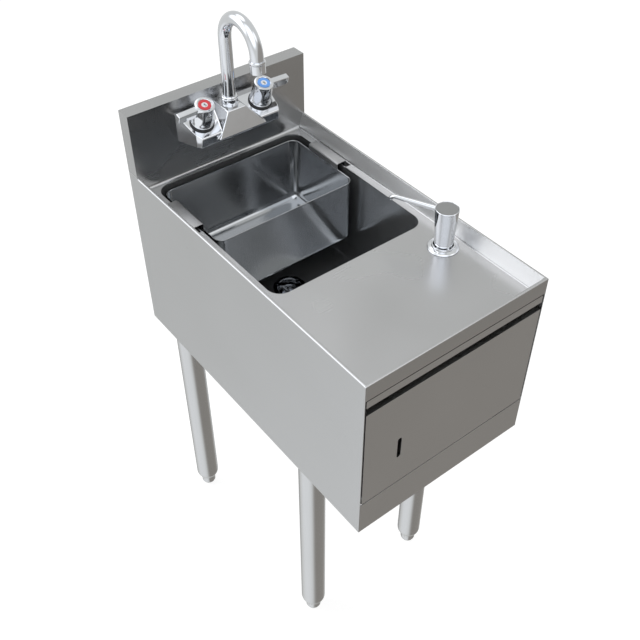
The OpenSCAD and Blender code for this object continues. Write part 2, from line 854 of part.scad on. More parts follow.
module shank_locknuts() color(brass) for (x = [-1, 1])
  translate([x * centres / 2, face_y + sheet, shank_z]) rotate([-90, 0, 0])
    hex_nut(locknut_flats, shank_r, locknut_h);

// elbow behind the backsplash with a threaded tail pointing down
module elbow(side) color(brass) translate([side * centres / 2, 0, 0]) difference() {
  union() {
    translate([0, elbow_y, shank_z]) rotate([-90, 0, 0]) cylinder(h = elbow_l, r = elbow_r);
    translate([0, drop_y, elbow_low_z + tail_thread_l])
      cylinder(h = shank_z - elbow_low_z - tail_thread_l, r = drop_r);
    translate([0, drop_y, elbow_low_z]) cylinder(h = tail_thread_l + 1, r = tail_thread_r);
  }
  translate([0, elbow_y - 1, shank_z]) rotate([-90, 0, 0])
    cylinder(h = nipple_end_y - elbow_y + 1, r = shank_r);
  translate([0, elbow_y, shank_z]) rotate([-90, 0, 0])
    cylinder(h = elbow_l - tail_wall, r = shank_r - shank_wall);
  translate([0, drop_y, elbow_low_z - 1])
    cylinder(h = shank_z - elbow_low_z + 1, r = tail_thread_r - tail_wall);
}

module hot_elbow() elbow(-1);
module cold_elbow() elbow(1);

// the plane of the bend, with the foot of the spout on its first axis
module at_bend() translate([0, spout_y - spout_bend, rim_z + spout_rise])
  rotate([0, 0, 90]) rotate([90, 0, 0]) children();

// the end of the bend, with +Z back along the tube
module at_spout_end() at_bend() rotate([0, 0, spout_turn])
  translate([spout_bend, 0, 0]) rotate([90, 0, 0]) children();

// gooseneck filled to a radius: a straight foot, the bend and a short straight end
module gooseneck(r, extra) {
  translate([0, spout_y, spout_foot_z - extra])
    cylinder(h = rim_z + spout_rise - spout_foot_z + extra, r = r);
  at_bend() rotate_extrude(angle = spout_turn) translate([spout_bend, 0]) circle(r);
  at_spout_end() translate([0, 0, -spout_end - extra])
    cylinder(h = spout_end + extra + 0.5, r = r - 0.02);
}

module spout_tube() color(chrome) difference() {
  gooseneck(spout_r, 0);
  gooseneck(spout_bore, 1);
}

module spout_nut() color(chrome) translate([0, spout_y, rim_z + block_top]) difference() {
  union() {
    cylinder(h = nut_h - nut_crown, r = nut_r);
    translate([0, 0, nut_h - nut_crown])
      cylinder(h = nut_crown, r1 = nut_r, r2 = nut_r - nut_crown_in);
  }
  translate([0, 0, -1]) cylinder(h = nut_h + 2, r = spout_r + fit);
  translate([0, 0, -1]) cylinder(h = bush_h + 1, r = spout_r + bush_t);
}

module spout_bush() color(black) translate([0, spout_y, rim_z + block_top])
  ring(spout_r + bush_t, spout_r + fit, bush_h);

module aerator() color(chrome) at_spout_end() translate([0, 0, -spout_end - aerator_cap])
  difference() {
    union() {
      cylinder(h = aerator_h, r = spout_r + aerator_wall);
      translate([0, 0, aerator_h]) cylinder(h = aerator_cap, r = spout_r + aerator_wall + 0.7);
    }
    translate([0, 0, aerator_cap]) cylinder(h = aerator_h + 1, r = spout_r);
    translate([0, 0, -1]) cylinder(h = aerator_cap + 2, r = spout_bore);
  }

// handle hub with six shallow flutes, and one flat lever
module handle(side) color(chrome) at_handle(side) difference() {
  union() {
    difference() {
      translate([0, 0, bonnet_t + near]) cylinder(h = handle_h, r1 = hub_r, r2 = hub_top_r);
      for (a = [0:60:300]) rotate([0, 0, a + 30])
        translate([hub_r + flute_out, 0, bonnet_t + flute_gap])
          cylinder(h = handle_h - 2 * flute_gap, r = flute_r);
    }
    lever(side);
  }
  translate([0, 0, hub_top - index_in]) cylinder(h = 2 * index_in, r = index_r + 0.2);
  cylinder(h = handle_h - lever_nose, r = stem_top_r);
  cylinder(h = handle_h + 10, r = screw_r);
}

module lever(side) {
  top = hub_top - lever_drop;
  end = side * lever_reach;
  rotate([90, 0, 0]) translate([0, 0, -lever_w / 2]) linear_extrude(lever_w) polygon([
    [0, top], [end, top - lever_fall], [end, top - lever_fall - lever_tip],
    [end - side * lever_nose, top - 2 * lever_fall - lever_tip], [0, top - lever_root]
  ]);
}

module hot_handle() handle(-1);
module cold_handle() handle(1);

module index(side, tint) color(tint) at_handle(side)
  translate([0, 0, hub_top - index_in]) ring(index_r, index_bore, index_t);

module hot_index() index(-1, [0.82, 0.24, 0.27]);
module cold_index() index(1, [0.45, 0.64, 0.93]);

module handle_screw(side) color(chrome) at_handle(side) {
  translate([0, 0, hub_top - index_in]) difference() {
    cylinder(h = screw_head_t, r = screw_head_r);
    translate([0, 0, screw_head_t - 1]) cylinder(h = 2, r = screw_hex_r, $fn = 6);
  }
  translate([0, 0, handle_h - lever_nose]) cylinder(h = 6, r = screw_r);
}

module hot_screw() handle_screw(-1);
module cold_screw() handle_screw(1);

module stem(side) color(brass) at_handle(side) difference() {
  translate([0, 0, 2 - valve_l]) cylinder(h = handle_h + valve_l - lever_nose - 2, r = stem_top_r);
  translate([0, 0, handle_h - 10]) cylinder(h = 10, r = screw_r);
}

module hot_stem() stem(-1);
module cold_stem() stem(1);

// black seal ring under the hub, over the valve that fills the bore of the body
module bonnet(side) color(black) at_handle(side) difference() {
  union() {
    cylinder(h = bonnet_t, r = bonnet_r);
    translate([0, 0, -valve_l]) cylinder(h = valve_l, r = valve_r);
  }
  translate([0, 0, -valve_l - 1]) cylinder(h = valve_l + 10, r = stem_top_r + fit);
}

module hot_bonnet() bonnet(-1);
module cold_bonnet() bonnet(1);

// ---------- soap pump ----------

module at_soap(z) translate([soap_px, soap_py, z]) children();

module soap_head() color(chrome) difference() {
  union() {
    at_soap(soap_foot_z) cylinder(h = soap_top_z - soap_foot_z, r1 = soap_foot_r, r2 = soap_top_r);
    at_soap(soap_top_z - soap_pipe_down) rotate([0, 0, 90 + soap_turn]) soap_spout();
  }
  at_soap(soap_foot_z - 1)
    cylinder(h = soap_top_z - soap_foot_z - soap_crown + 1, r = pump_stem_r + fit);
}

// thin spout: a straight tube that turns down at its tip
module soap_spout() {
  run = soap_reach - soap_tip_bend;
  straight = run - soap_tip_taper;
  rotate([0, 90, 0]) cylinder(h = straight, r = soap_pipe_r);
  translate([straight, 0, 0]) rotate([0, 90, 0])
    cylinder(h = soap_tip_taper, r1 = soap_pipe_r, r2 = soap_tip_r);
  translate([run, 0, -soap_tip_bend]) rotate([90, 0, 0])
    rotate_extrude(angle = soap_tip_turn) translate([soap_tip_bend, 0]) circle(soap_tip_r);
  translate([run, 0, 0]) sphere(soap_tip_r);
}

// hollow stem with the piston at its foot
module soap_stem() color(steel) {
  at_soap(piston_z) ring(pump_stem_r, dip_r, soap_top_z - soap_crown - near - piston_z);
  at_soap(piston_z) ring(pump_r - fit, dip_r, piston_h);
}

// flange on the deck, with the threaded shank and the pump chamber under it
module soap_collar() color(chrome) difference() {
  union() {
    at_soap(deck_z) cylinder(h = soap_flange_t, r = soap_flange_r);
    at_soap(deck_z + soap_flange_t)
      cylinder(h = soap_flange_t, r1 = soap_flange_r, r2 = soap_flange_r - soap_flange_in);
    at_soap(soap_shank_z) cylinder(h = deck_z - soap_shank_z + 1, r = soap_shank_r);
    at_soap(pump_z - pump_lip)
      cylinder(h = soap_shank_z - pump_z + pump_lip + 1, r = pump_r + pump_wall);
  }
  at_soap(soap_well_z) cylinder(h = through, r = soap_well_r);
  at_soap(pump_z) cylinder(h = soap_well_z - pump_lip - pump_z, r = pump_r);
  at_soap(pump_z - 10) cylinder(h = through, r = dip_r);
  at_soap(piston_z) cylinder(h = through, r = pump_stem_r + fit);
}

module soap_nut() color(black)
  at_soap(under_deck_z - soap_nut_h) hex_nut(soap_nut_flats, soap_shank_r, soap_nut_h);

module soap_bottle() color(clear) {
  floor_z = shoulder_z - bottle_h;
  difference() {
    union() {
      at_soap(floor_z) cylinder(h = bottle_h - bottle_slope, r = bottle_r);
      at_soap(shoulder_z - bottle_slope) cylinder(h = bottle_slope, r1 = bottle_r, r2 = neck_r);
      at_soap(shoulder_z - eps) cylinder(h = neck_z - shoulder_z, r = neck_r);
    }
    at_soap(soap_shank_z) cylinder(h = through, r = soap_shank_r);
    at_soap(shoulder_z - bottle_slope - eps)
      cylinder(h = soap_shank_z - shoulder_z + bottle_slope + 1, r = pump_r + bottle_neck_gap);
    at_soap(floor_z + bottle_wall)
      cylinder(h = bottle_h - bottle_slope - bottle_wall, r = bottle_r - bottle_wall);
  }
}

module soap_dip_tube() color(clear)
  at_soap(shoulder_z - bottle_h + dip_up)
    ring(dip_r, dip_r - dip_wall, pump_z - shoulder_z + bottle_h - dip_up);

// a point of the pump spring: turn step i, side k of the wire
function coil_point(i, k) =
  let (a = 360 * i / coil_steps, b = 360 * k / coil_sides, r = coil_r + wire_r * cos(b))
  [r * cos(a), r * sin(a), coil_h * i / coil_rings + wire_r * (1 + sin(b))];

module soap_spring() color(steel) at_soap(pump_z) polyhedron(
  points = [for (i = [0:coil_rings], k = [0:coil_sides - 1]) coil_point(i, k)],
  faces = concat(
    [[for (k = [0:coil_sides - 1]) k]],
    [[for (k = [coil_sides - 1:-1:0]) coil_rings * coil_sides + k]],
    [for (i = [0:coil_rings - 1], k = [0:coil_sides - 1])
      let (j = (k + 1) % coil_sides, p = i * coil_sides, q = p + coil_sides)
      each [[p + k, q + k, q + j], [p + k, q + j, p + j]]]
  ));

deck_tray();
sink_bowl();
backsplash();
left_side_panel();
right_side_panel();
front_apron();
towel_slot_rail();
lower_front_panel();
divider_panel();
towel_shelf();
pan_ledge_left();
pan_ledge_right();
front_leg_channel();
rear_leg_channel();
leg_sockets();
leg_front_left();
leg_front_right();
leg_rear_left();
leg_rear_right();
foot_front_left();
foot_front_right();
foot_rear_left();
foot_rear_right();
leg_set_screws();
towel_door();
door_pivots();
door_catches();
drain_flange();
drain_strainer();
drain_gasket();
drain_locknut();
drain_tailpiece();
faucet_body();
hot_shank();
cold_shank();
shank_locknuts();
hot_elbow();
cold_elbow();
spout_tube();
spout_nut();
spout_bush();
aerator();
hot_handle();
cold_handle();
hot_index();
cold_index();
hot_screw();
cold_screw();
hot_stem();
cold_stem();
hot_bonnet();
cold_bonnet();
soap_head();
soap_stem();
soap_collar();
soap_nut();
soap_bottle();
soap_dip_tube();
soap_spring();
ice_pan();
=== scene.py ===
import math

import bmesh
import bpy
from mathutils import Matrix, Vector
from mathutils.geometry import delaunay_2d_cdt


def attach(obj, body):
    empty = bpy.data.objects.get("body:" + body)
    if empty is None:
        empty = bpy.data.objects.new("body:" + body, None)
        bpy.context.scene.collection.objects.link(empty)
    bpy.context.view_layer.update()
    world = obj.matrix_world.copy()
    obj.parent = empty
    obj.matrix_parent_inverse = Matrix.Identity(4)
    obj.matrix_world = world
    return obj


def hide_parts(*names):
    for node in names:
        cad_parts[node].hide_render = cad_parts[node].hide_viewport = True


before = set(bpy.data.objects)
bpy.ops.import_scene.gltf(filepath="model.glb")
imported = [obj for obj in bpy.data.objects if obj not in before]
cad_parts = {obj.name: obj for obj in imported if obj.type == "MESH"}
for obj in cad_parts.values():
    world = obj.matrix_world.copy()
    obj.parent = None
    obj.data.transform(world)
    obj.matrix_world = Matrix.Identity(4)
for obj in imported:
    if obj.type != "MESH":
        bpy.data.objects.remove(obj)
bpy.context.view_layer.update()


# ---------------------------------------------------------------- deck
# The recessed top: one sheet of brushed stainless steel with a flat rim, walls that lean
# inwards and soft press bends. The bowl opening, the tab notches and the hole for the soap
# pump are cut through it, and its rim is welded and polished onto the side panels.
mm = 0.001


def brushed(name, along, tone=0.50, shine=0.30, warm=0.0, metal=1.0, fine=0.55):
    """Stainless steel ground in one direction: fine long scratches, soft smudges."""
    made = bpy.data.materials.new(name)
    made.use_nodes = True
    nodes, links = made.node_tree.nodes, made.node_tree.links
    shader = nodes["Principled BSDF"]
    shader.inputs["Metallic"].default_value = metal
    place = nodes.new("ShaderNodeTexCoord")
    stretch = nodes.new("ShaderNodeMapping")
    stretch.inputs["Scale"].default_value = [22.0 if a == along else 1500.0 for a in "XYZ"]
    links.new(place.outputs["Object"], stretch.inputs["Vector"])
    grain = nodes.new("ShaderNodeTexNoise")
    grain.inputs["Scale"].default_value = 1.0
    grain.inputs["Detail"].default_value = 4.0
    grain.inputs["Roughness"].default_value = 0.62
    links.new(stretch.outputs["Vector"], grain.inputs["Vector"])
    smudge = nodes.new("ShaderNodeTexNoise")
    smudge.inputs["Scale"].default_value = 7.0
    smudge.inputs["Detail"].default_value = 1.5
    links.new(place.outputs["Object"], smudge.inputs["Vector"])
    both = nodes.new("ShaderNodeMix")
    both.inputs["Factor"].default_value = 1 - fine
    links.new(grain.outputs["Fac"], both.inputs["A"])
    links.new(smudge.outputs["Fac"], both.inputs["B"])
    rough = nodes.new("ShaderNodeMapRange")
    rough.inputs["From Min"].default_value = 0.3
    rough.inputs["From Max"].default_value = 0.7
    rough.inputs["To Min"].default_value = shine - 0.03
    rough.inputs["To Max"].default_value = shine + 0.05
    links.new(both.outputs["Result"], rough.inputs["Value"])
    links.new(rough.outputs["Result"], shader.inputs["Roughness"])
    colour = nodes.new("ShaderNodeValToRGB")
    low, high = tone * 0.965, tone * 1.03
    colour.color_ramp.elements[0].position = 0.3
    colour.color_ramp.elements[0].color = (low + warm, low, low - warm, 1)
    colour.color_ramp.elements[1].position = 0.7
    colour.color_ramp.elements[1].color = (high + warm, high, high - warm, 1)
    links.new(both.outputs["Result"], colour.inputs["Fac"])
    links.new(colour.outputs["Color"], shader.inputs["Base Color"])
    scratch = nodes.new("ShaderNodeBump")
    scratch.inputs["Strength"].default_value = 0.04 * fine
    scratch.inputs["Distance"].default_value = 0.0001
    links.new(grain.outputs["Fac"], scratch.inputs["Height"])
    links.new(scratch.outputs["Normal"], shader.inputs["Normal"])
    return made


def crisp(mesh, angle=32):
    """Smooth faces with a hard line wherever two meet at more than the angle."""
    work = bmesh.new()
    work.from_mesh(mesh)
    for face in work.faces:
        face.smooth = True
    for edge in work.edges:
        edge.smooth = edge.calc_face_angle(0) < math.radians(angle)
    work.to_mesh(mesh)
    work.free()


def settle(piece, body, stands_for, angle=32):
    """Turns the modifiers into plain mesh and hangs the piece on its body."""
    bpy.context.view_layer.update()
    seen = piece.evaluated_get(bpy.context.evaluated_depsgraph_get())
    mesh = bpy.data.meshes.new_from_object(seen)
    piece.modifiers.clear()
    piece.data = mesh
    if angle:
        crisp(mesh, angle)
    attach(piece, body)
    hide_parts(*stands_for)
    return piece


def from_bmesh(name, work, material):
    """An object at the origin from mesh work given in millimetres."""
    bmesh.ops.scale(work, vec=(mm, mm, mm), verts=work.verts)
    mesh = bpy.data.meshes.new(name)
    work.to_mesh(mesh)
    work.free()
    piece = bpy.data.objects.new(name, mesh)
    bpy.context.scene.collection.objects.link(piece)
    mesh.materials.append(material)
    return piece


def fold_edges(piece, width, segments=2, angle=30):
    """Breaks the sharp edges of a piece and keeps its flats flat."""
    edge = piece.modifiers.new("edges", "BEVEL")
    edge.width = width * mm
    edge.segments = segments
    edge.limit_method = "ANGLE"
    edge.angle_limit = math.radians(angle)
    edge.use_clamp_overlap = True
    flat = piece.modifiers.new("flats", "WEIGHTED_NORMAL")
    flat.weight = 100
    flat.keep_sharp = True
    return piece


def give_wall(piece, thickness, offset=-1):
    """Makes a sheet of an open surface: -1 puts the wall behind the faces, 0 on both sides."""
    wall = piece.modifiers.new("sheet", "SOLIDIFY")
    wall.thickness = thickness * mm
    wall.offset = offset


def skin(work, rings, closed=True):
    """Quads between rings of points that have the same count. Returns the rows of vertices."""
    rows = [[work.verts.new(p) for p in ring] for ring in rings]
    for a, b in zip(rows, rows[1:]):
        count = len(a)
        for i in range(count if closed else count - 1):
            j = (i + 1) % count
            work.faces.new((a[i], a[j], b[j], b[i]))
    return rows


def face_up(work):
    """Makes the normals of an open shell agree, with its level faces looking up."""
    bmesh.ops.recalc_face_normals(work, faces=work.faces)
    if sum(f.normal.z * f.calc_area() for f in work.faces) < 0:
        bmesh.ops.reverse_faces(work, faces=work.faces)


deck_steel = brushed("deck_steel", "X", tone=0.480, shine=0.24, metal=0.95, fine=0.06)
half_width, front_y, face_y = 152.4, -270.65, 245.75
rim_z, deck_z, sheet = 744.5, 720.5, 1.2
bowl_half, bowl_front, bowl_back, bowl_corner = 128.85, -65.95, 239.75, 21.0
bowl_y = (bowl_front + bowl_back) / 2
notch_half, notch_front, notch_back = 139.0, 111.0, 197.0
pump_x, pump_y, pump_hole_r = 111.6, -121.55, 17.5


def rim_line(inset, corner, z):
    """The line of the rim at one inset: back left, round the front, to back right."""
    half, front = half_width - inset, front_y + inset
    line = [(-half, face_y, z)]
    for side, start in ((-1, 180), (1, 270)):
        for step in range(9):
            a = math.radians(start + 90 * step / 8)
            line.append((side * (half - corner) + corner * math.cos(a),
                         front + corner + corner * math.sin(a), z))
    line.append((half, face_y, z))
    return line


def opening_line(z):
    """The edge of the bowl opening with its two notches, going round once."""
    notch = [(bowl_half, notch_front, z), (notch_half, notch_front, z),
             (notch_half, notch_back, z), (bowl_half, notch_back, z)]
    line = []
    for x, y, start in ((1, bowl_front + bowl_corner, 270), (1, bowl_back - bowl_corner, 0),
                        (-1, bowl_back - bowl_corner, 90), (-1, bowl_front + bowl_corner, 180)):
        if start == 0:
            line += notch
        if start == 180:
            line += [(-far, along, z) for far, along, _ in reversed(notch)]
        for step in range(11):
            a = math.radians(start + 9 * step)
            line.append((x * (bowl_half - bowl_corner) + bowl_corner * math.cos(a),
                         y + bowl_corner * math.sin(a), z))
    return line


deck = bmesh.new()
# each bend of the section: inset from the body's outline, corner radius, height
deck_profile = [(0.01, 0.9, 743.2), (0.01, 0.9, 743.3), (0.12, 1.0, 743.5), (1.0, 1.7, 744.38),
                (1.3, 1.9, 744.5), (3.3, 2.0, 744.5), (3.75, 2.0, 744.35), (4.1, 2.0, 743.9),
                (11.3, 2.4, 722.6), (11.65, 2.4, 721.7), (12.0, 2.5, 721.05),
                (12.45, 2.6, 720.65), (12.9, 2.6, 720.5), (13.3, 2.6, 720.5)]
deck_rows = skin(deck, [rim_line(*row) for row in deck_profile], closed=False)
# The leaning walls take the second material, a much paler copy of the deck steel: a painted highlight that
# makes them brighter than the flat deck.
for face in deck.faces:
    face.material_index = 1 if deck_z + 2.5 < face.calc_center_median().z < rim_z - 1 else 0


def within(point, line):
    """Whether a point of the flat lies inside a closed line."""
    odd = False
    for a, b in zip(line, line[1:] + line[:1]):
        if (a.co.y > point.y) != (b.co.y > point.y):
            odd ^= point.x < a.co.x + (point.y - a.co.y) * (b.co.x - a.co.x) / (b.co.y - a.co.y)
    return odd


pump_hole = [(pump_x + pump_hole_r * math.cos(math.tau * i / 40),
              pump_y + pump_hole_r * math.sin(math.tau * i / 40), deck_z) for i in range(40)]
loops = [deck_rows[-1]]
loops += [[deck.verts.new(p) for p in line] for line in (opening_line(deck_z), pump_hole)]
dots, sides = [], []
for loop in loops:
    first = len(dots)
    sides += [(first + i, first + (i + 1) % len(loop)) for i in range(len(loop))]
    dots += loop
_, _, triangles, origins, _, _ = delaunay_2d_cdt([v.co.xy for v in dots], sides, [], 0, 1e-5)
for triangle in triangles:
    corners = [dots[origins[i][0]] for i in triangle]
    centre = sum((v.co for v in corners), Vector()) / 3
    if within(centre, loops[0]) and not within(centre, loops[1]) and not within(centre, loops[2]):
        deck.faces.new(corners)
face_up(deck)
deck = from_bmesh("deck", deck, deck_steel)
# The paler wall material is the same steel with a painted highlight in its colour.
deck.data.materials.append(brushed("deck_wall_painted_highlight", "Y", tone=0.78, shine=0.30, metal=0.85, fine=0.3))
crisp(deck.data)
give_wall(deck, sheet)
fold_edges(deck, 0.35, 2, 50)
settle(deck, "casing", ["deck_tray"], angle=0)


# ---------------------------------------------------------------- bowl
# One deep-drawn bowl, ground along its length, welded under the deck opening. Its corners
# and floor are coved and the floor is dished down to the drain.
def tub_rings(half_x, y0, y1, corner, top, floor, cove):
    """Round-cornered rings from the mouth of a tub down over its coved edge to the floor."""
    steps, sides, least_corner = 7, 6, 1.2
    heights = [(0.0, corner, top), (0.0, corner, floor + cove)]
    for step in range(1, steps + 1):
        a = math.radians(86 * step / steps)
        heights.append((cove * (1 - math.cos(a)), max(corner - cove * (1 - math.cos(a)), least_corner),
                        floor + cove * (1 - math.sin(a))))
    rings = []
    for inset, radius, z in heights:
        ring = []
        hx, front, back = half_x - inset, y0 + inset, y1 - inset
        centres = [(hx - radius, front + radius, 270), (hx - radius, back - radius, 0),
                   (radius - hx, back - radius, 90), (radius - hx, front + radius, 180)]
        for x, y, start in centres:
            arc = [(x + radius * math.cos(math.radians(start + 90 * i / 8)),
                    y + radius * math.sin(math.radians(start + 90 * i / 8)), z) for i in range(9)]
            ring += arc
            after = centres[(centres.index((x, y, start)) + 1) % 4]
            end = (after[0] + radius * math.cos(math.radians(after[2])),
                   after[1] + radius * math.sin(math.radians(after[2])), z)
            ring += [tuple(arc[-1][k] + (end[k] - arc[-1][k]) * i / sides for k in range(3))
                     for i in range(1, sides)]
        rings.append(ring)
    return rings


def to_circle(ring, centre, radius, z):
    """The ring's points moved onto a circle, each in its own direction."""
    out = []
    for x, y, _ in ring:
        away = Vector((x - centre[0], y - centre[1])).normalized()
        out.append((centre[0] + away.x * radius, centre[1] + away.y * radius, z))
    return out


def blend_rings(a, b, share):
    """A ring that lies the given share of the way from one ring to another."""
    return [tuple(p[k] + (q[k] - p[k]) * share for k in range(3)) for p, q in zip(a, b)]


bowl_steel = brushed("bowl_steel", "Y", tone=0.465, shine=0.17, warm=-0.010, metal=0.86, fine=0.1)
bowl_floor, dish_r = 568.5, 60
rings = tub_rings(bowl_half, bowl_front, bowl_back, bowl_corner, deck_z - sheet, bowl_floor, bowl_corner)
floor_ring = [(x, y, bowl_floor) for x, y, _ in rings[-1]]
dish = to_circle(floor_ring, (0, bowl_y), dish_r, bowl_floor)
rings += [blend_rings(floor_ring, dish, s) for s in (0.06, 0.3, 0.6, 0.9)] + [dish]
for radius, z in ((58.5, 568.3), (48, 566.45), (36, 564.3), (28, 562.85), (26.5, 562.6), (22.5, 562.5)):
    rings.append(to_circle(floor_ring, (0, bowl_y), radius, z))
bowl = bmesh.new()
skin(bowl, rings)
face_up(bowl)
bowl = from_bmesh("bowl", bowl, bowl_steel)
give_wall(bowl, sheet)
settle(bowl, "casing", ["sink_bowl"], angle=50)


# ---------------------------------------------------------------- casing panels
# Folded stainless sheets spot-welded into a box: side panels, front apron, lower front panel
# and backsplash, with the divider, the towel shelf and the pan ledges inside. Each is ground
# along its length and has its sheared edges broken.
def dressed(node, body, material, edge=0.4, segments=2, angle=30):
    """A copy of a CAD node with whole faces and broken edges, in its own finish."""
    work = bmesh.new()
    work.from_mesh(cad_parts[node].data)
    bmesh.ops.remove_doubles(work, verts=work.verts, dist=0.00001)
    bmesh.ops.dissolve_limit(work, angle_limit=math.radians(0.6), verts=work.verts, edges=work.edges)
    mesh = bpy.data.meshes.new(node)
    work.to_mesh(mesh)
    work.free()
    piece = bpy.data.objects.new("dressed_" + node, mesh)
    bpy.context.scene.collection.objects.link(piece)
    mesh.materials.append(material)
    if edge:
        fold_edges(piece, edge, segments, angle)
    return settle(piece, body, [node], angle=0 if edge else 32)


side_steel = brushed("side_panel_steel", "Y", tone=0.475, shine=0.30, metal=0.95)
front_steel = brushed("front_panel_steel", "X", tone=0.50, shine=0.30, warm=0.006)
inner_steel = brushed("inner_panel_steel", "X", tone=0.45, shine=0.36)
for node in ("left_side_panel", "right_side_panel"):
    dressed(node, "casing", side_steel, edge=0.3)
back_steel = brushed("backsplash_steel", "X", tone=0.445, shine=0.24, fine=0.15)
apron_steel = brushed("apron_steel", "X", tone=0.455, shine=0.30, warm=0.006)
for node, edge, steel in (("front_apron", 0.45, apron_steel), ("lower_front_panel", 0.12, front_steel),
                          ("backsplash", 0.45, back_steel)):
    dressed(node, "casing", steel, edge=edge)
dressed("towel_slot_rail", "casing", front_steel, edge=0.3)
for node in ("divider_panel", "towel_shelf", "pan_ledge_left", "pan_ledge_right"):
    dressed(node, "casing", inner_steel, edge=0.3)


# ---------------------------------------------------------------- towel door
# A folded tray door of the same sheet, with a level window punched through it. It swings on
# two riveted pins and clicks into two moulded catches.
def moulded(name, colour, rough, grain=900.0, depth=0.05):
    """Rubber or plastic with a fine moulded surface and a little uneven colour."""
    made = bpy.data.materials.new(name)
    made.use_nodes = True
    nodes, links = made.node_tree.nodes, made.node_tree.links
    shader = nodes["Principled BSDF"]
    place = nodes.new("ShaderNodeTexCoord")
    fine = nodes.new("ShaderNodeTexNoise")
    fine.inputs["Scale"].default_value = grain
    fine.inputs["Detail"].default_value = 3.0
    cloud = nodes.new("ShaderNodeTexNoise")
    cloud.inputs["Scale"].default_value = 60.0
    cloud.inputs["Detail"].default_value = 4.0
    for noise in (fine, cloud):
        links.new(place.outputs["Object"], noise.inputs["Vector"])
    shade = nodes.new("ShaderNodeValToRGB")
    shade.color_ramp.elements[0].position = 0.3
    shade.color_ramp.elements[0].color = [c * 0.88 for c in colour] + [1]
    shade.color_ramp.elements[1].position = 0.72
    shade.color_ramp.elements[1].color = [min(1, c * 1.08) for c in colour] + [1]
    links.new(cloud.outputs["Fac"], shade.inputs["Fac"])
    links.new(shade.outputs["Color"], shader.inputs["Base Color"])
    gloss = nodes.new("ShaderNodeMapRange")
    gloss.inputs["To Min"].default_value = rough - 0.06
    gloss.inputs["To Max"].default_value = rough + 0.06
    links.new(fine.outputs["Fac"], gloss.inputs["Value"])
    links.new(gloss.outputs["Result"], shader.inputs["Roughness"])
    skin_bump = nodes.new("ShaderNodeBump")
    skin_bump.inputs["Strength"].default_value = depth
    skin_bump.inputs["Distance"].default_value = 0.0003
    links.new(fine.outputs["Fac"], skin_bump.inputs["Height"])
    links.new(skin_bump.outputs["Normal"], shader.inputs["Normal"])
    return made


black_rubber = moulded("black_rubber", (0.012, 0.012, 0.013), 0.55)
black_plastic = moulded("black_plastic", (0.018, 0.018, 0.019), 0.42)
drawn_steel = brushed("drawn_steel", "Z", tone=0.55, shine=0.22)
dressed("towel_door", "door", front_steel, edge=0.45)
dressed("door_pivots", "casing", drawn_steel, edge=0.3, angle=40)
dressed("door_catches", "casing", black_plastic, edge=1.0, segments=3)


# ---------------------------------------------------------------- ice pan
# A drawn pan with a thin rim that hangs in the back of the bowl. Each end has a folded tab,
# spot-welded to the rim, that reaches over the bowl's edge and stands on a ledge.
pan_steel = brushed("pan_steel", "X", tone=0.46, shine=0.12, warm=-0.010, metal=0.97, fine=0.0)
pan_half, pan_front, pan_back, pan_corner = 120.8, 81.95, 231.55, 13.8
pan_top, pan_floor, lip_out, lip_up = 713.6, 602.7, 0.6, 0.35
pan_y, pan_reach = (pan_front + pan_back) / 2, (pan_back - pan_front) / 2
rings = tub_rings(pan_half, pan_front, pan_back, pan_corner, pan_top, pan_floor, pan_corner)
lip = [(x * (1 + lip_out / pan_half), pan_y + (y - pan_y) * (1 + lip_out / pan_reach), pan_top + lip_up)
       for x, y, _ in rings[0]]
floor_ring = [(x, y, pan_floor) for x, y, _ in rings[-1]]
middle = [(0, pan_y, pan_floor)] * len(floor_ring)
rings = [lip] + rings + [blend_rings(floor_ring, middle, s) for s in (0.05, 0.5, 0.97)]
pan = bmesh.new()
rows = skin(pan, rings)
pan.faces.new(rows[-1])
face_up(pan)
tab_section = [(120.9, 706.0), (120.9, 721.6), (121.2, 722.6), (121.9, 723.2), (122.8, 723.4),
               (136.2, 723.4), (137.1, 723.2), (137.7, 722.6), (137.9, 721.6), (137.9, 712.5)]
tab_front, tab_back = 121.0, 192.5
for side in (-1, 1):
    for a, b in zip(tab_section, tab_section[1:]):
        corners = [pan.verts.new((side * x, y, z)) for (x, z), y in
                   ((a, tab_front), (a, tab_back), (b, tab_back), (b, tab_front))]
        face = pan.faces.new(corners)
        face.material_index = 1
        if side > 0:
            face.normal_flip()
bmesh.ops.remove_doubles(pan, verts=pan.verts, dist=0.01)
pan = from_bmesh("pan", pan, pan_steel)
pan.data.materials.append(brushed("tab_steel", "Y", tone=0.40, shine=0.40))
give_wall(pan, 1.1, offset=0)
fold_edges(pan, 0.3, 2, 60)
settle(pan, "pan", ["ice_pan"], angle=50)


# ---------------------------------------------------------------- legs and feet
# Satin steel tubes with a crimped lower end, socketed into two channels under the box.
# A bullet foot with six wrench flats screws into the plug at the end of each leg.
def turned(work, profile, segments, ring, place, radius_at=None):
    """A turned shape: radius and height in millimetres, from the foot up, about Z.

    A ring's profile is a closed loop. radius_at can press flats into the round.
    """
    rows = []
    for r, z in profile:
        if r < 1e-6:
            rows.append([work.verts.new(place @ Vector((0, 0, z)))])
            continue
        row = []
        for i in range(segments):
            a = math.tau * i / segments
            far = radius_at(r, z, a) if radius_at else r
            row.append(work.verts.new(place @ Vector((far * math.cos(a), far * math.sin(a), z))))
        rows.append(row)
    pairs = list(zip(rows, rows[1:])) + ([(rows[-1], rows[0])] if ring else [])
    for a, b in pairs:
        for i in range(segments):
            j = (i + 1) % segments
            if len(a) == 1 and len(b) == 1:
                continue
            if len(a) == 1:
                work.faces.new((a[0], b[j], b[i]))
            elif len(b) == 1:
                work.faces.new((a[i], a[j], b[0]))
            else:
                work.faces.new((a[i], a[j], b[j], b[i]))


def turned_piece(name, profile, material, body, stands_for, segments, ring, place, radius_at=None):
    """A turned shape made into a finished piece."""
    work = bmesh.new()
    turned(work, profile, segments, ring, place, radius_at)
    bmesh.ops.recalc_face_normals(work, faces=work.faces)
    return settle(from_bmesh(name, work, material), body, stands_for)


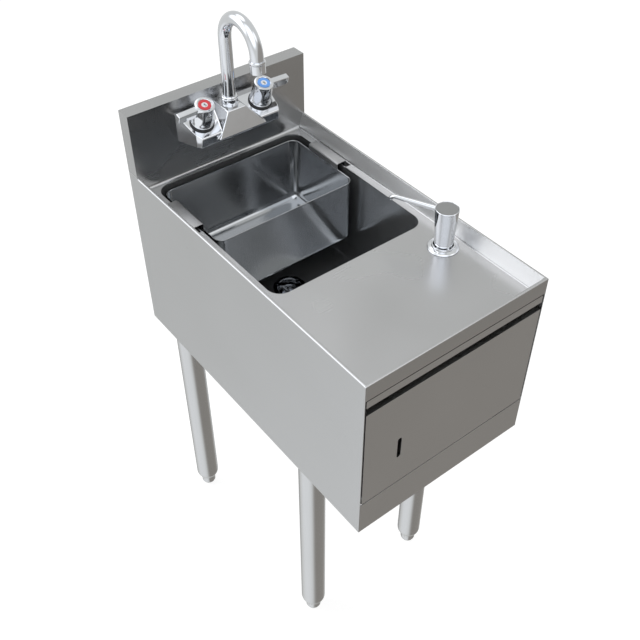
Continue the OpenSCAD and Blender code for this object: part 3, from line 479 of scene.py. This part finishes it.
leg_steel = brushed("leg_steel", "Z", tone=0.54, shine=0.15)
foot_steel = brushed("foot_steel", "Z", tone=0.55, shine=0.20)
leg_profile = [(8.1, 24.0), (14.2, 23.5), (14.9, 24.0), (15.4, 25.6), (17.0, 28.2), (18.7, 31.0),
               (19.9, 34.0), (20.5, 37.0), (20.65, 40.0), (20.65, 499.8), (19.15, 499.8),
               (19.15, 63.5), (8.1, 63.5)]
foot_profile = [(0, 0.0), (3.4, 0.0), (6.6, 0.75), (9.4, 2.4), (11.6, 5.0), (13.0, 8.2),
                (13.4, 11.0), (13.4, 19.3), (13.4, 20.0), (13.4, 22.6), (12.9, 23.2), (8.0, 23.3),
                (8.0, 77.8), (7.2, 78.5), (0, 78.5)]


def wrench_flats(r, z, a):
    """Six flats round the middle of the foot, each this far from its axis."""
    flat = 12.77
    if r < 11 or z < 4 or z > 19.6:
        return r
    return min(r, flat / math.cos((a % (math.pi / 3)) - math.pi / 6))


leg_x, leg_front_y, leg_rear_y = 113.9, -116.85, 231.65
for x, y, where in ((-leg_x, leg_front_y, "front_left"), (leg_x, leg_front_y, "front_right"),
                    (-leg_x, leg_rear_y, "rear_left"), (leg_x, leg_rear_y, "rear_right")):
    at = Matrix.Translation((x, y, 0))
    turned_piece("tube_" + where, leg_profile, leg_steel, "casing",
                 ["leg_" + where], 64, True, at)
    turned_piece("bullet_" + where, foot_profile, foot_steel, where + "_foot",
                 ["foot_" + where], 72, False, at, wrench_flats)

galvanized = brushed("galvanized_steel", "X", tone=0.46, shine=0.42)
for node in ("front_leg_channel", "rear_leg_channel"):
    dressed(node, "casing", galvanized, edge=0.6)
for node in ("leg_sockets", "leg_set_screws"):
    dressed(node, "casing", galvanized, edge=0.4, angle=40)


# ---------------------------------------------------------------- drain
# A chromed flange pressed into the dished floor, with a cross-bar strainer in its throat.
# Under the bowl a rubber gasket, a brass locknut and a slip-joint tailpiece hold it.
def plated(name, colour, rough, smear=0.05):
    """Bright plating: nearly a mirror, with faint smears."""
    made = bpy.data.materials.new(name)
    made.use_nodes = True
    nodes, links = made.node_tree.nodes, made.node_tree.links
    shader = nodes["Principled BSDF"]
    shader.inputs["Metallic"].default_value = 1.0
    place = nodes.new("ShaderNodeTexCoord")
    wipe = nodes.new("ShaderNodeTexNoise")
    wipe.inputs["Scale"].default_value = 55.0
    wipe.inputs["Detail"].default_value = 6.0
    wipe.inputs["Distortion"].default_value = 0.6
    links.new(place.outputs["Object"], wipe.inputs["Vector"])
    gloss = nodes.new("ShaderNodeMapRange")
    gloss.inputs["From Min"].default_value = 0.35
    gloss.inputs["From Max"].default_value = 0.75
    gloss.inputs["To Min"].default_value = rough
    gloss.inputs["To Max"].default_value = rough + smear
    links.new(wipe.outputs["Fac"], gloss.inputs["Value"])
    links.new(gloss.outputs["Result"], shader.inputs["Roughness"])
    tone = nodes.new("ShaderNodeValToRGB")
    tone.color_ramp.elements[0].position = 0.35
    tone.color_ramp.elements[0].color = [c * 0.97 for c in colour] + [1]
    tone.color_ramp.elements[1].position = 0.75
    tone.color_ramp.elements[1].color = [min(1, c * 1.02) for c in colour] + [1]
    links.new(wipe.outputs["Fac"], tone.inputs["Fac"])
    links.new(tone.outputs["Color"], shader.inputs["Base Color"])
    return made


chrome = plated("chrome", (0.70, 0.71, 0.73), 0.05)
brass = plated("plain_brass", (0.70, 0.50, 0.25), 0.24, 0.10)
at = Matrix.Translation((0, bowl_y, 0))
turned_piece("drain_ring", [(22.0, 524.5), (22.0, 562.4), (25.2, 562.5), (25.5, 563.0), (25.2, 564.0),
                            (24.2, 564.5), (21.2, 564.3), (19.6, 563.3), (19.0, 561.8), (19.0, 524.5)],
             chrome, "casing", ["drain_flange"], 64, True, at)
# The strainer is chrome painted dark: painted shade for the drain's throat, where its cross-bars sit in
# shadow.
strainer_shade = plated("strainer_chrome_painted_shade", (0.20, 0.21, 0.22), 0.22, 0.10)
dressed("drain_strainer", "casing", strainer_shade, edge=0.5, angle=40)
dressed("drain_gasket", "casing", black_rubber, edge=0.4, angle=40)
dressed("drain_locknut", "casing", brass, edge=0.6, angle=40)
turned_piece("drain_pipe", [(18.05, 434.5), (19.05, 434.5), (19.05, 516.5), (23.5, 516.5), (24.5, 517.6),
                            (24.5, 532.4), (23.5, 533.5), (22.0, 533.5), (22.0, 524.5), (18.05, 524.5)],
             chrome, "casing", ["drain_tailpiece"], 64, True, at)


# ---------------------------------------------------------------- faucet body
# One chromed brass casting against the backsplash: a flat-topped block for the spout in the
# middle and a pod at each end whose top leans towards the user. Brass nipples, locknuts and
# elbows join it to the supplies behind the sheet.
def cut_block(planes):
    """A convex block left after a big cube is cut by planes, each a point and its outside."""
    work = bmesh.new()
    bmesh.ops.create_cube(work, size=400)
    for point, out in planes:
        every = work.verts[:] + work.edges[:] + work.faces[:]
        cut = bmesh.ops.bisect_plane(work, geom=every, plane_co=point, plane_no=out, clear_outer=True)
        loop = [e for e in cut["geom_cut"] if isinstance(e, bmesh.types.BMEdge)]
        bmesh.ops.edgeloop_fill(work, edges=loop)
    bmesh.ops.recalc_face_normals(work, faces=work.faces)
    return work


def side_plane(a, b):
    """A plane across the faucet through two points of its side outline (forward, up)."""
    return ((0, -a[0], a[1]), (0, -(b[1] - a[1]), -(b[0] - a[0])))


valve_lean = math.radians(20)
valve_x, valve_out, valve_up, pod_out = 50.8, 26.7, 68.6, 51.4
lean = math.tan(valve_lean)
outline = [(0, 34.3), (49.5, 42.9), (52.4, 57.4), (pod_out, valve_up - (pod_out - valve_out) * lean),
           (0, valve_up + valve_out * lean)]
planes = [((0, 0, 0), (0, 1, 0))] + [side_plane(a, b) for a, b in zip(outline, outline[1:])]
for side in (-1, 1):
    for a, b in (((78.1, 0), (71.4, 42.5)), ((71.4, 42.5), (66.7, 52.5))):
        planes.append(((side * a[0], -a[1], 0), (side * (b[1] - a[1]), -(a[0] - b[0]), 0)))
pods = cut_block(planes)
block_up, block_half, block_out = 80.6, 34.3, 53.0
block = cut_block([((0, 0, 0), (0, 1, 0)), ((0, 0, block_up), (0, 0, 1)), ((0, 0, 50), (0, 0, -1)),
                   ((0, -block_out, 58), (0, -22.6, 11.3)),
                   ((block_half, 0, 58), (22.6, 0, 19.3)), ((-block_half, 0, 58), (-22.6, 0, 19.3))])
move = Matrix.Translation((0, face_y, rim_z))
bmesh.ops.transform(pods, matrix=move, verts=pods.verts)
bmesh.ops.transform(block, matrix=move, verts=block.verts)
casting = from_bmesh("casting", pods, chrome)
hump = from_bmesh("hump", block, chrome)
join = casting.modifiers.new("one casting", "BOOLEAN")
join.operation = "UNION"
join.solver = "EXACT"
join.object = hump
fold_edges(casting, 1.5, 4, 12)
settle(casting, "casing", ["faucet_body"], angle=0)
bpy.data.objects.remove(hump)
for node in ("hot_shank", "cold_shank", "shank_locknuts", "hot_elbow", "cold_elbow"):
    dressed(node, "casing", brass, edge=0.4, angle=40)


# ---------------------------------------------------------------- spout
# A bent chromed tube that turns in the block on a plastic bush, held by a round nut, with a
# screwed aerator collar on its free end.
def tube_tree(name):
    """Geometry Nodes: a round tube along the curve it is given."""
    tree = bpy.data.node_groups.new(name, "GeometryNodeTree")
    face = tree.interface
    face.new_socket("Path", in_out="INPUT", socket_type="NodeSocketGeometry")
    face.new_socket("Radius", in_out="INPUT", socket_type="NodeSocketFloat")
    face.new_socket("Sides", in_out="INPUT", socket_type="NodeSocketInt")
    face.new_socket("Finish", in_out="INPUT", socket_type="NodeSocketMaterial")
    face.new_socket("Tube", in_out="OUTPUT", socket_type="NodeSocketGeometry")
    put, take = tree.nodes.new("NodeGroupInput"), tree.nodes.new("NodeGroupOutput")
    circle = tree.nodes.new("GeometryNodeCurvePrimitiveCircle")
    sweep = tree.nodes.new("GeometryNodeCurveToMesh")
    sweep.inputs["Fill Caps"].default_value = True
    smooth = tree.nodes.new("GeometryNodeSetShadeSmooth")
    real = tree.nodes.new("GeometryNodeRealizeInstances")
    paint = tree.nodes.new("GeometryNodeSetMaterial")
    links = tree.links
    links.new(put.outputs["Radius"], circle.inputs["Radius"])
    links.new(put.outputs["Sides"], circle.inputs["Resolution"])
    links.new(put.outputs["Path"], sweep.inputs["Curve"])
    links.new(circle.outputs["Curve"], sweep.inputs["Profile Curve"])
    radius = tree.nodes.new("GeometryNodeInputRadius")
    links.new(radius.outputs["Radius"], sweep.inputs["Scale"])
    links.new(sweep.outputs["Mesh"], smooth.inputs["Geometry"])
    links.new(smooth.outputs["Geometry"], real.inputs["Geometry"])
    links.new(real.outputs["Geometry"], paint.inputs["Geometry"])
    links.new(put.outputs["Finish"], paint.inputs["Material"])
    links.new(paint.outputs["Geometry"], take.inputs["Tube"])
    return tree


def swept(name, points, radii, sides, material, body, stands_for):
    """A tube through points in millimetres, with its own radius at each."""
    path = bpy.data.curves.new(name, "CURVE")
    path.dimensions = "3D"
    path.twist_mode = "MINIMUM"
    line = path.splines.new("POLY")
    line.points.add(len(points) - 1)
    for dot, place, r in zip(line.points, points, radii):
        dot.co = (*[c * mm for c in place], 1)
        dot.radius = r / radii[0]
    piece = bpy.data.objects.new(name + "_path", path)
    bpy.context.scene.collection.objects.link(piece)
    nodes = piece.modifiers.new("tube", "NODES")
    nodes.node_group = tube_tree(name)
    given = {s.name: s.identifier for s in nodes.node_group.interface.items_tree if s.in_out == "INPUT"}
    nodes[given["Radius"]] = radii[0] * mm
    nodes[given["Sides"]] = sides
    nodes[given["Finish"]] = material
    bpy.context.view_layer.update()
    mesh = bpy.data.meshes.new_from_object(piece.evaluated_get(bpy.context.evaluated_depsgraph_get()))
    bpy.data.objects.remove(piece)
    tube = bpy.data.objects.new(name, mesh)
    bpy.context.scene.collection.objects.link(tube)
    return settle(tube, body, stands_for)


spout_y, bend_z, bend_r, bend_end, tube_r = 221.65, 927.5, 38.4, 176, 9.4
bend_y = spout_y - bend_r
points = [(0, spout_y, z) for z in (814.1, 850, 890, 920)]
points += [(0, bend_y + bend_r * math.cos(math.radians(a)), bend_z + bend_r * math.sin(math.radians(a)))
           for a in range(0, bend_end + 1, 4)]
tip, end = Vector(points[-1]), math.radians(bend_end)
down = Vector((0, -math.sin(end), math.cos(end)))
points += [tuple(tip + down * s) for s in (8, 20)]
swept("gooseneck", points, [tube_r] * len(points), 48, chrome, "spout", ["spout_tube"])
mouth = (Matrix.Translation((0, bend_y, bend_z)) @ Matrix.Rotation(math.pi / 2, 4, "Z")
         @ Matrix.Rotation(math.pi / 2, 4, "X") @ Matrix.Rotation(end, 4, "Z")
         @ Matrix.Translation((bend_r, 0, 0)) @ Matrix.Rotation(math.pi / 2, 4, "X")
         @ Matrix.Translation((0, 0, -24)))
turned_piece("aerator_collar", [(7.8, 0), (10.2, 0), (10.8, 0.6), (11.0, 13.0), (11.5, 13.6), (11.7, 14.4),
                                (11.7, 16.2), (11.3, 17.0), (9.4, 17.0), (9.4, 4.0), (7.8, 4.0)],
             chrome, "spout", ["aerator"], 48, True, mouth)
at = Matrix.Translation((0, spout_y, 825.1))
turned_piece("swivel_nut", [(11.2, 0), (11.9, 0), (12.2, 0.5), (12.2, 10.6), (11.7, 11.2), (11.7, 11.8),
                            (12.2, 12.3), (12.1, 13.4), (11.2, 14.3), (9.5, 14.5), (9.46, 5), (11.2, 5)],
             chrome, "casing", ["spout_nut"], 48, True, at)
dressed("spout_bush", "casing", black_plastic, edge=0)


# ---------------------------------------------------------------- handles
# Two chromed lever handles on leaning valve stems, each with six flutes in its hub, a
# coloured index under a small screw, and a black ring on the body below it.
red_plastic = moulded("red_plastic", (0.62, 0.035, 0.045), 0.30)
blue_plastic = moulded("blue_plastic", (0.13, 0.34, 0.80), 0.30)
pale_plastic = moulded("pale_plastic", (0.80, 0.82, 0.84), 0.30)
flute_low, flute_high, flute_depth = 7.6, 31.4, 1.4


def fluted(r, z, a):
    """Six long oval flats pressed into the hub between its foot and its crown."""
    if r < 12.5 or z < flute_low or z > flute_high:
        return r
    middle, reach = (flute_low + flute_high) / 2, 12
    depth = flute_depth * (1 - ((z - middle) / reach) ** 2)
    return min(r, (r - depth) / math.cos(a % (math.pi / 3) - math.pi / 6))


hub_profile = [(4.1, 3.1), (16.2, 3.1), (16.7, 3.5), (16.7, 5.0), (16.4, 6.2), (16.1, flute_low)]
hub_profile += [(16.1 - 1.6 * i / 20, flute_low + (flute_high - flute_low) * i / 20) for i in range(1, 21)]
hub_profile += [(14.4, 34.0), (14.4, 36.0), (14.1, 36.9), (13.3, 37.3), (10.7, 37.3), (10.1, 36.9),
                (10.0, 35.9), (4.1, 35.9)]
bar_half, pale_ring_r = 4.6, 4.6
for side, word, tint, slot in ((-1, "hot", red_plastic, "red_plastic"),
                               (1, "cold", blue_plastic, "blue_plastic")):
    body = word + "_valve"
    at = (Matrix.Translation((side * valve_x, face_y - valve_out, rim_z + valve_up))
          @ Matrix.Rotation(valve_lean, 4, "X"))
    hub = bmesh.new()
    turned(hub, hub_profile, 144, True, at, fluted)
    bmesh.ops.recalc_face_normals(hub, faces=hub.faces)
    hub = from_bmesh(word + "_hub", hub, chrome)
    bar = bmesh.new()
    section = [(side * x, z) for x, z in ((8, 35.4), (43.6, 33.8), (43.6, 22.8), (39.8, 20.8), (8, 20.9))]
    low, high = [[bar.verts.new(at @ Vector((x, y, z))) for x, z in section]
                 for y in (-bar_half, bar_half)]
    bar.faces.new(low)
    bar.faces.new(high)
    for i in range(len(section)):
        bar.faces.new((low[i - 1], low[i], high[i], high[i - 1]))
    bmesh.ops.recalc_face_normals(bar, faces=bar.faces)
    bar = fold_edges(from_bmesh(word + "_bar", bar, chrome), 1.1, 3)
    crisp(hub.data)
    bpy.context.view_layer.update()
    lever = bpy.data.meshes.new_from_object(bar.evaluated_get(bpy.context.evaluated_depsgraph_get()))
    whole = bmesh.new()
    whole.from_mesh(hub.data)
    whole.from_mesh(lever)
    whole.to_mesh(hub.data)
    whole.free()
    bpy.data.objects.remove(bar)
    settle(hub, body, [word + "_handle"], angle=0)
    disc = turned_piece(word + "_index_disc",
                        [(2.9, 35.9), (9.3, 35.9), (9.3, 36.6), (9.0, 36.9), (5.4, 37.0), (4.9, 36.7),
                         (4.5, 36.7), (3.2, 36.7), (2.9, 36.5)],
                        tint, body, [word + "_index"], 48, True, at)
    disc.data.materials.append(pale_plastic)
    for face in disc.data.polygons:
        if (at.inverted() @ (face.center / mm)).xy.length < pale_ring_r:
            face.material_index = 1
    turned_piece(word + "_screw_head", [(0, 30.2), (1.6, 30.2), (1.6, 35.9), (2.7, 35.9), (2.7, 37.1),
                                        (2.3, 37.6), (1.3, 37.6), (1.1, 37.3), (1.1, 32.5), (0, 32.5)],
                 chrome, body, [word + "_screw"], 32, False, at)
    dressed(word + "_stem", body, brass, edge=0)
    turned_piece(word + "_seal", [(4.06, -12), (7.0, -12), (7.0, 0), (17.6, 0), (18.0, 0.5), (18.0, 2.2),
                                  (17.4, 2.8), (4.06, 2.8)], black_rubber, "casing",
                 [word + "_bonnet"], 48, True, at)


# ---------------------------------------------------------------- soap pump
# A chromed pump through the deck: a domed flange, a tapered push head with a thin curled
# spout, and under the deck its nut, spring, stem and a translucent bottle with a dip tube.
soap_at = Matrix.Translation((pump_x, pump_y, 0))
turned_piece("pump_flange", [(3.0, 672.5), (12.5, 672.5), (12.5, 684.5), (17.0, 684.5), (17.0, 720.5),
                             (21.4, 720.5), (22.0, 721.0), (21.9, 721.9), (21.0, 722.9), (19.2, 723.6),
                             (17.0, 724.0), (16.5, 724.3), (16.4, 726.3), (16.0, 726.9), (14.6, 727.0),
                             (14.1, 726.7), (14.1, 725.0), (14.4, 724.5), (14.4, 708.5), (6.06, 708.5),
                             (6.06, 706.5), (10.0, 706.5), (10.0, 674.5), (3.0, 674.5)],
             chrome, "casing", ["soap_collar"], 64, True, soap_at)
# The top of the push head is a satin disc. Its satin grain is the cap's own finish; its dark tone is
# painted shade standing in for the grey the chrome top reflects.
cap_satin_painted_shade = brushed("cap_satin_painted_shade", "X", tone=0.33, shine=0.30)
turned_piece("pump_cap", [(0, 784.0), (14.7, 784.0), (14.7, 785.8), (0, 785.8)], cap_satin_painted_shade, "soap_top",
             ["soap_head"], 64, False, soap_at)
turned_piece("pump_head", [(6.06, 727.5), (12.5, 727.5), (13.0, 728.0), (13.1, 729.6), (12.8, 730.0),
                           (13.15, 730.4), (16.42, 784.6), (16.3, 785.5), (15.8, 786.0), (15.2, 786.0),
                           (14.9, 785.6), (14.8, 784.0), (0, 784.0), (0, 777.0), (6.06, 777.0)],
             chrome, "soap_top", ["soap_head"], 64, True, soap_at)
nozzle_z, curl_x, curl_r = 780.5, 74, 8
taper = {10: 4.0, 20: 3.9, 32: 3.75, 44: 3.6, 56: 3.35, 66: 3.1}
points = [(reach, 0, nozzle_z) for reach in taper]
points += [(curl_x + curl_r * math.sin(math.radians(a)), 0,
            nozzle_z - curl_r + curl_r * math.cos(math.radians(a))) for a in range(0, 71, 10)]
radii = list(taper.values()) + [2.9] * (len(points) - len(taper))
turn = soap_at @ Matrix.Rotation(math.radians(115), 4, "Z")
swept("pump_spout", [tuple(turn @ Vector(p)) for p in points], radii, 32, chrome, "soap_top",
      ["soap_head"])
dressed("soap_stem", "soap_plunger", drawn_steel, edge=0)
dressed("soap_nut", "casing", black_plastic, edge=0.8, segments=3, angle=40)
clear = moulded("clear_plastic", (0.80, 0.83, 0.82), 0.34, 400.0, 0.02)
clear.node_tree.nodes["Principled BSDF"].inputs["Transmission Weight"].default_value = 0.75
clear.node_tree.nodes["Principled BSDF"].inputs["IOR"].default_value = 1.45
dressed("soap_bottle", "casing", clear, edge=0)
dressed("soap_dip_tube", "casing", clear, edge=0)
dressed("soap_spring", "casing", drawn_steel, edge=0)


# ---------------------------------------------------------------- floor, light and camera
# A plain pale floor that keeps the shadow, and a white studio round it. What the metal sees
# of the studio is softly uneven: bright walls on the left, grey ones low in front and on the
# right. The camera stands where the body's straight edges in the photograph put it.
floor_mesh = bpy.data.meshes.new("floor")
floor_mesh.from_pydata([(-6, -6, 0), (6, -6, 0), (6, 6, 0), (-6, 6, 0)], [], [(0, 1, 2, 3)])
floor = bpy.data.objects.new("floor", floor_mesh)
bpy.context.scene.collection.objects.link(floor)
floor.visible_glossy = False
pale = bpy.data.materials.new("pale_floor")
pale.use_nodes = True
nodes, links = pale.node_tree.nodes, pale.node_tree.links
nodes.remove(nodes["Principled BSDF"])
matt = nodes.new("ShaderNodeBsdfDiffuse")
matt.inputs["Color"].default_value = (0.30, 0.30, 0.30, 1)
glow = nodes.new("ShaderNodeEmission")
path = nodes.new("ShaderNodeLightPath")
strength = nodes.new("ShaderNodeMath")
strength.operation = "MULTIPLY"
strength.inputs[1].default_value = 0.84
links.new(path.outputs["Is Camera Ray"], strength.inputs[0])
links.new(strength.outputs[0], glow.inputs["Strength"])
both = nodes.new("ShaderNodeAddShader")
links.new(matt.outputs[0], both.inputs[0])
links.new(glow.outputs[0], both.inputs[1])
links.new(both.outputs[0], nodes["Material Output"].inputs["Surface"])
floor_mesh.materials.append(pale)


def toward(azimuth, elevation):
    """The unit vector to a point of the studio, from +X round to +Y, and up."""
    a, e = math.radians(azimuth), math.radians(elevation)
    return (math.cos(e) * math.cos(a), math.cos(e) * math.sin(a), math.sin(e))


world = bpy.data.worlds.new("white_studio")
bpy.context.scene.world = world
world.use_nodes = True
world.cycles.sampling_method = "NONE"
nodes, links = world.node_tree.nodes, world.node_tree.links
place = nodes.new("ShaderNodeTexCoord")
studio = None
# each patch of light: where it is, the angle it fills, the angle it fades out at, its colour
for azimuth, elevation, inner, outer, colour in (
        (-52, -30, 40, 62, (0.376, 0.360, 0.338)),
        (66, -42, 10, 34, (0.36, 0.36, 0.36)),
        (180, -40, 15, 48, (1.10, 1.13, 1.16)),
        (141, 25, 13, 36, (2.25, 2.3, 2.4)),
        (225, 45, 20, 45, (1.75, 1.82, 1.92)),
        (-57, 40, 6, 20, (1.50, 1.52, 1.55)),
        (85, 60, 8, 25, (1.90, 1.92, 1.98))):
    near = nodes.new("ShaderNodeVectorMath")
    near.operation = "DOT_PRODUCT"
    near.inputs[1].default_value = toward(azimuth, elevation)
    links.new(place.outputs["Generated"], near.inputs[0])
    share = nodes.new("ShaderNodeMapRange")
    share.interpolation_type = "SMOOTHSTEP"
    share.inputs["From Min"].default_value = math.cos(math.radians(outer))
    share.inputs["From Max"].default_value = math.cos(math.radians(inner))
    links.new(near.outputs["Value"], share.inputs["Value"])
    layer = nodes.new("ShaderNodeMix")
    layer.data_type = "RGBA"
    layer.clamp_factor = True
    behind, patch = [i for i in layer.inputs if i.type == "RGBA"]
    behind.default_value = (0.790, 0.805, 0.800, 1)
    patch.default_value = (*colour, 1)
    links.new(share.outputs["Result"], layer.inputs["Factor"])
    if studio:
        links.new(studio, behind)
    studio = [o for o in layer.outputs if o.type == "RGBA"][0]
path = nodes.new("ShaderNodeLightPath")
to_glossy = nodes.new("ShaderNodeMix")
to_glossy.data_type = "RGBA"
plain, seen = [i for i in to_glossy.inputs if i.type == "RGBA"]
plain.default_value = (0.55, 0.55, 0.55, 1)
links.new(path.outputs["Is Glossy Ray"], to_glossy.inputs["Factor"])
links.new(studio, seen)
direct = nodes.new("ShaderNodeMath")
direct.operation = "MAXIMUM"
links.new(path.outputs["Is Camera Ray"], direct.inputs[0])
links.new(path.outputs["Is Transmission Ray"], direct.inputs[1])
to_white = nodes.new("ShaderNodeMix")
to_white.data_type = "RGBA"
under, over = [i for i in to_white.inputs if i.type == "RGBA"]
over.default_value = (1, 1, 1, 1)
links.new(direct.outputs[0], to_white.inputs["Factor"])
links.new([o for o in to_glossy.outputs if o.type == "RGBA"][0], under)
links.new([o for o in to_white.outputs if o.type == "RGBA"][0], nodes["Background"].inputs["Color"])

for name, where, aim, size, power in (
        ("left_box", (-1.6, 1.4, 2.6), (0, 0, 0.7), (1.2, 1.8), 30),
        ("top_box", (0.6, 0.6, 3.2), (0, 0, 0.7), (2.2, 1.6), 20),
        ("front_box", (-0.6, -2.6, 2.4), (0, 0, 0.6), (1.6, 1.2), 12)):
    lamp = bpy.data.lights.new(name, "AREA")
    lamp.shape = "RECTANGLE"
    lamp.size, lamp.size_y = size
    lamp.energy = power
    box = bpy.data.objects.new(name, lamp)
    bpy.context.scene.collection.objects.link(box)
    box.location = where
    box.rotation_euler = (Vector(aim) - Vector(where)).to_track_quat("-Z", "Y").to_euler()
    box.visible_glossy = False

camera = bpy.data.objects.new("camera", bpy.data.cameras.new("camera"))
camera.data.lens = 50.11
camera.data.clip_end = 50
right, above, back = ((0.78936, -0.61393, -0.00129), (0.42418, 0.54387, 0.72407),
                      (-0.44383, -0.57210, 0.68972))
camera_at = (-0.6045, -0.7699, 1.4893)
camera.matrix_world = (Matrix.Translation(camera_at)
                       @ Matrix((right, above, back)).transposed().to_4x4())
bpy.context.scene.collection.objects.link(camera)
bpy.context.scene.camera = camera
bpy.context.scene.view_settings.view_transform = "Standard"
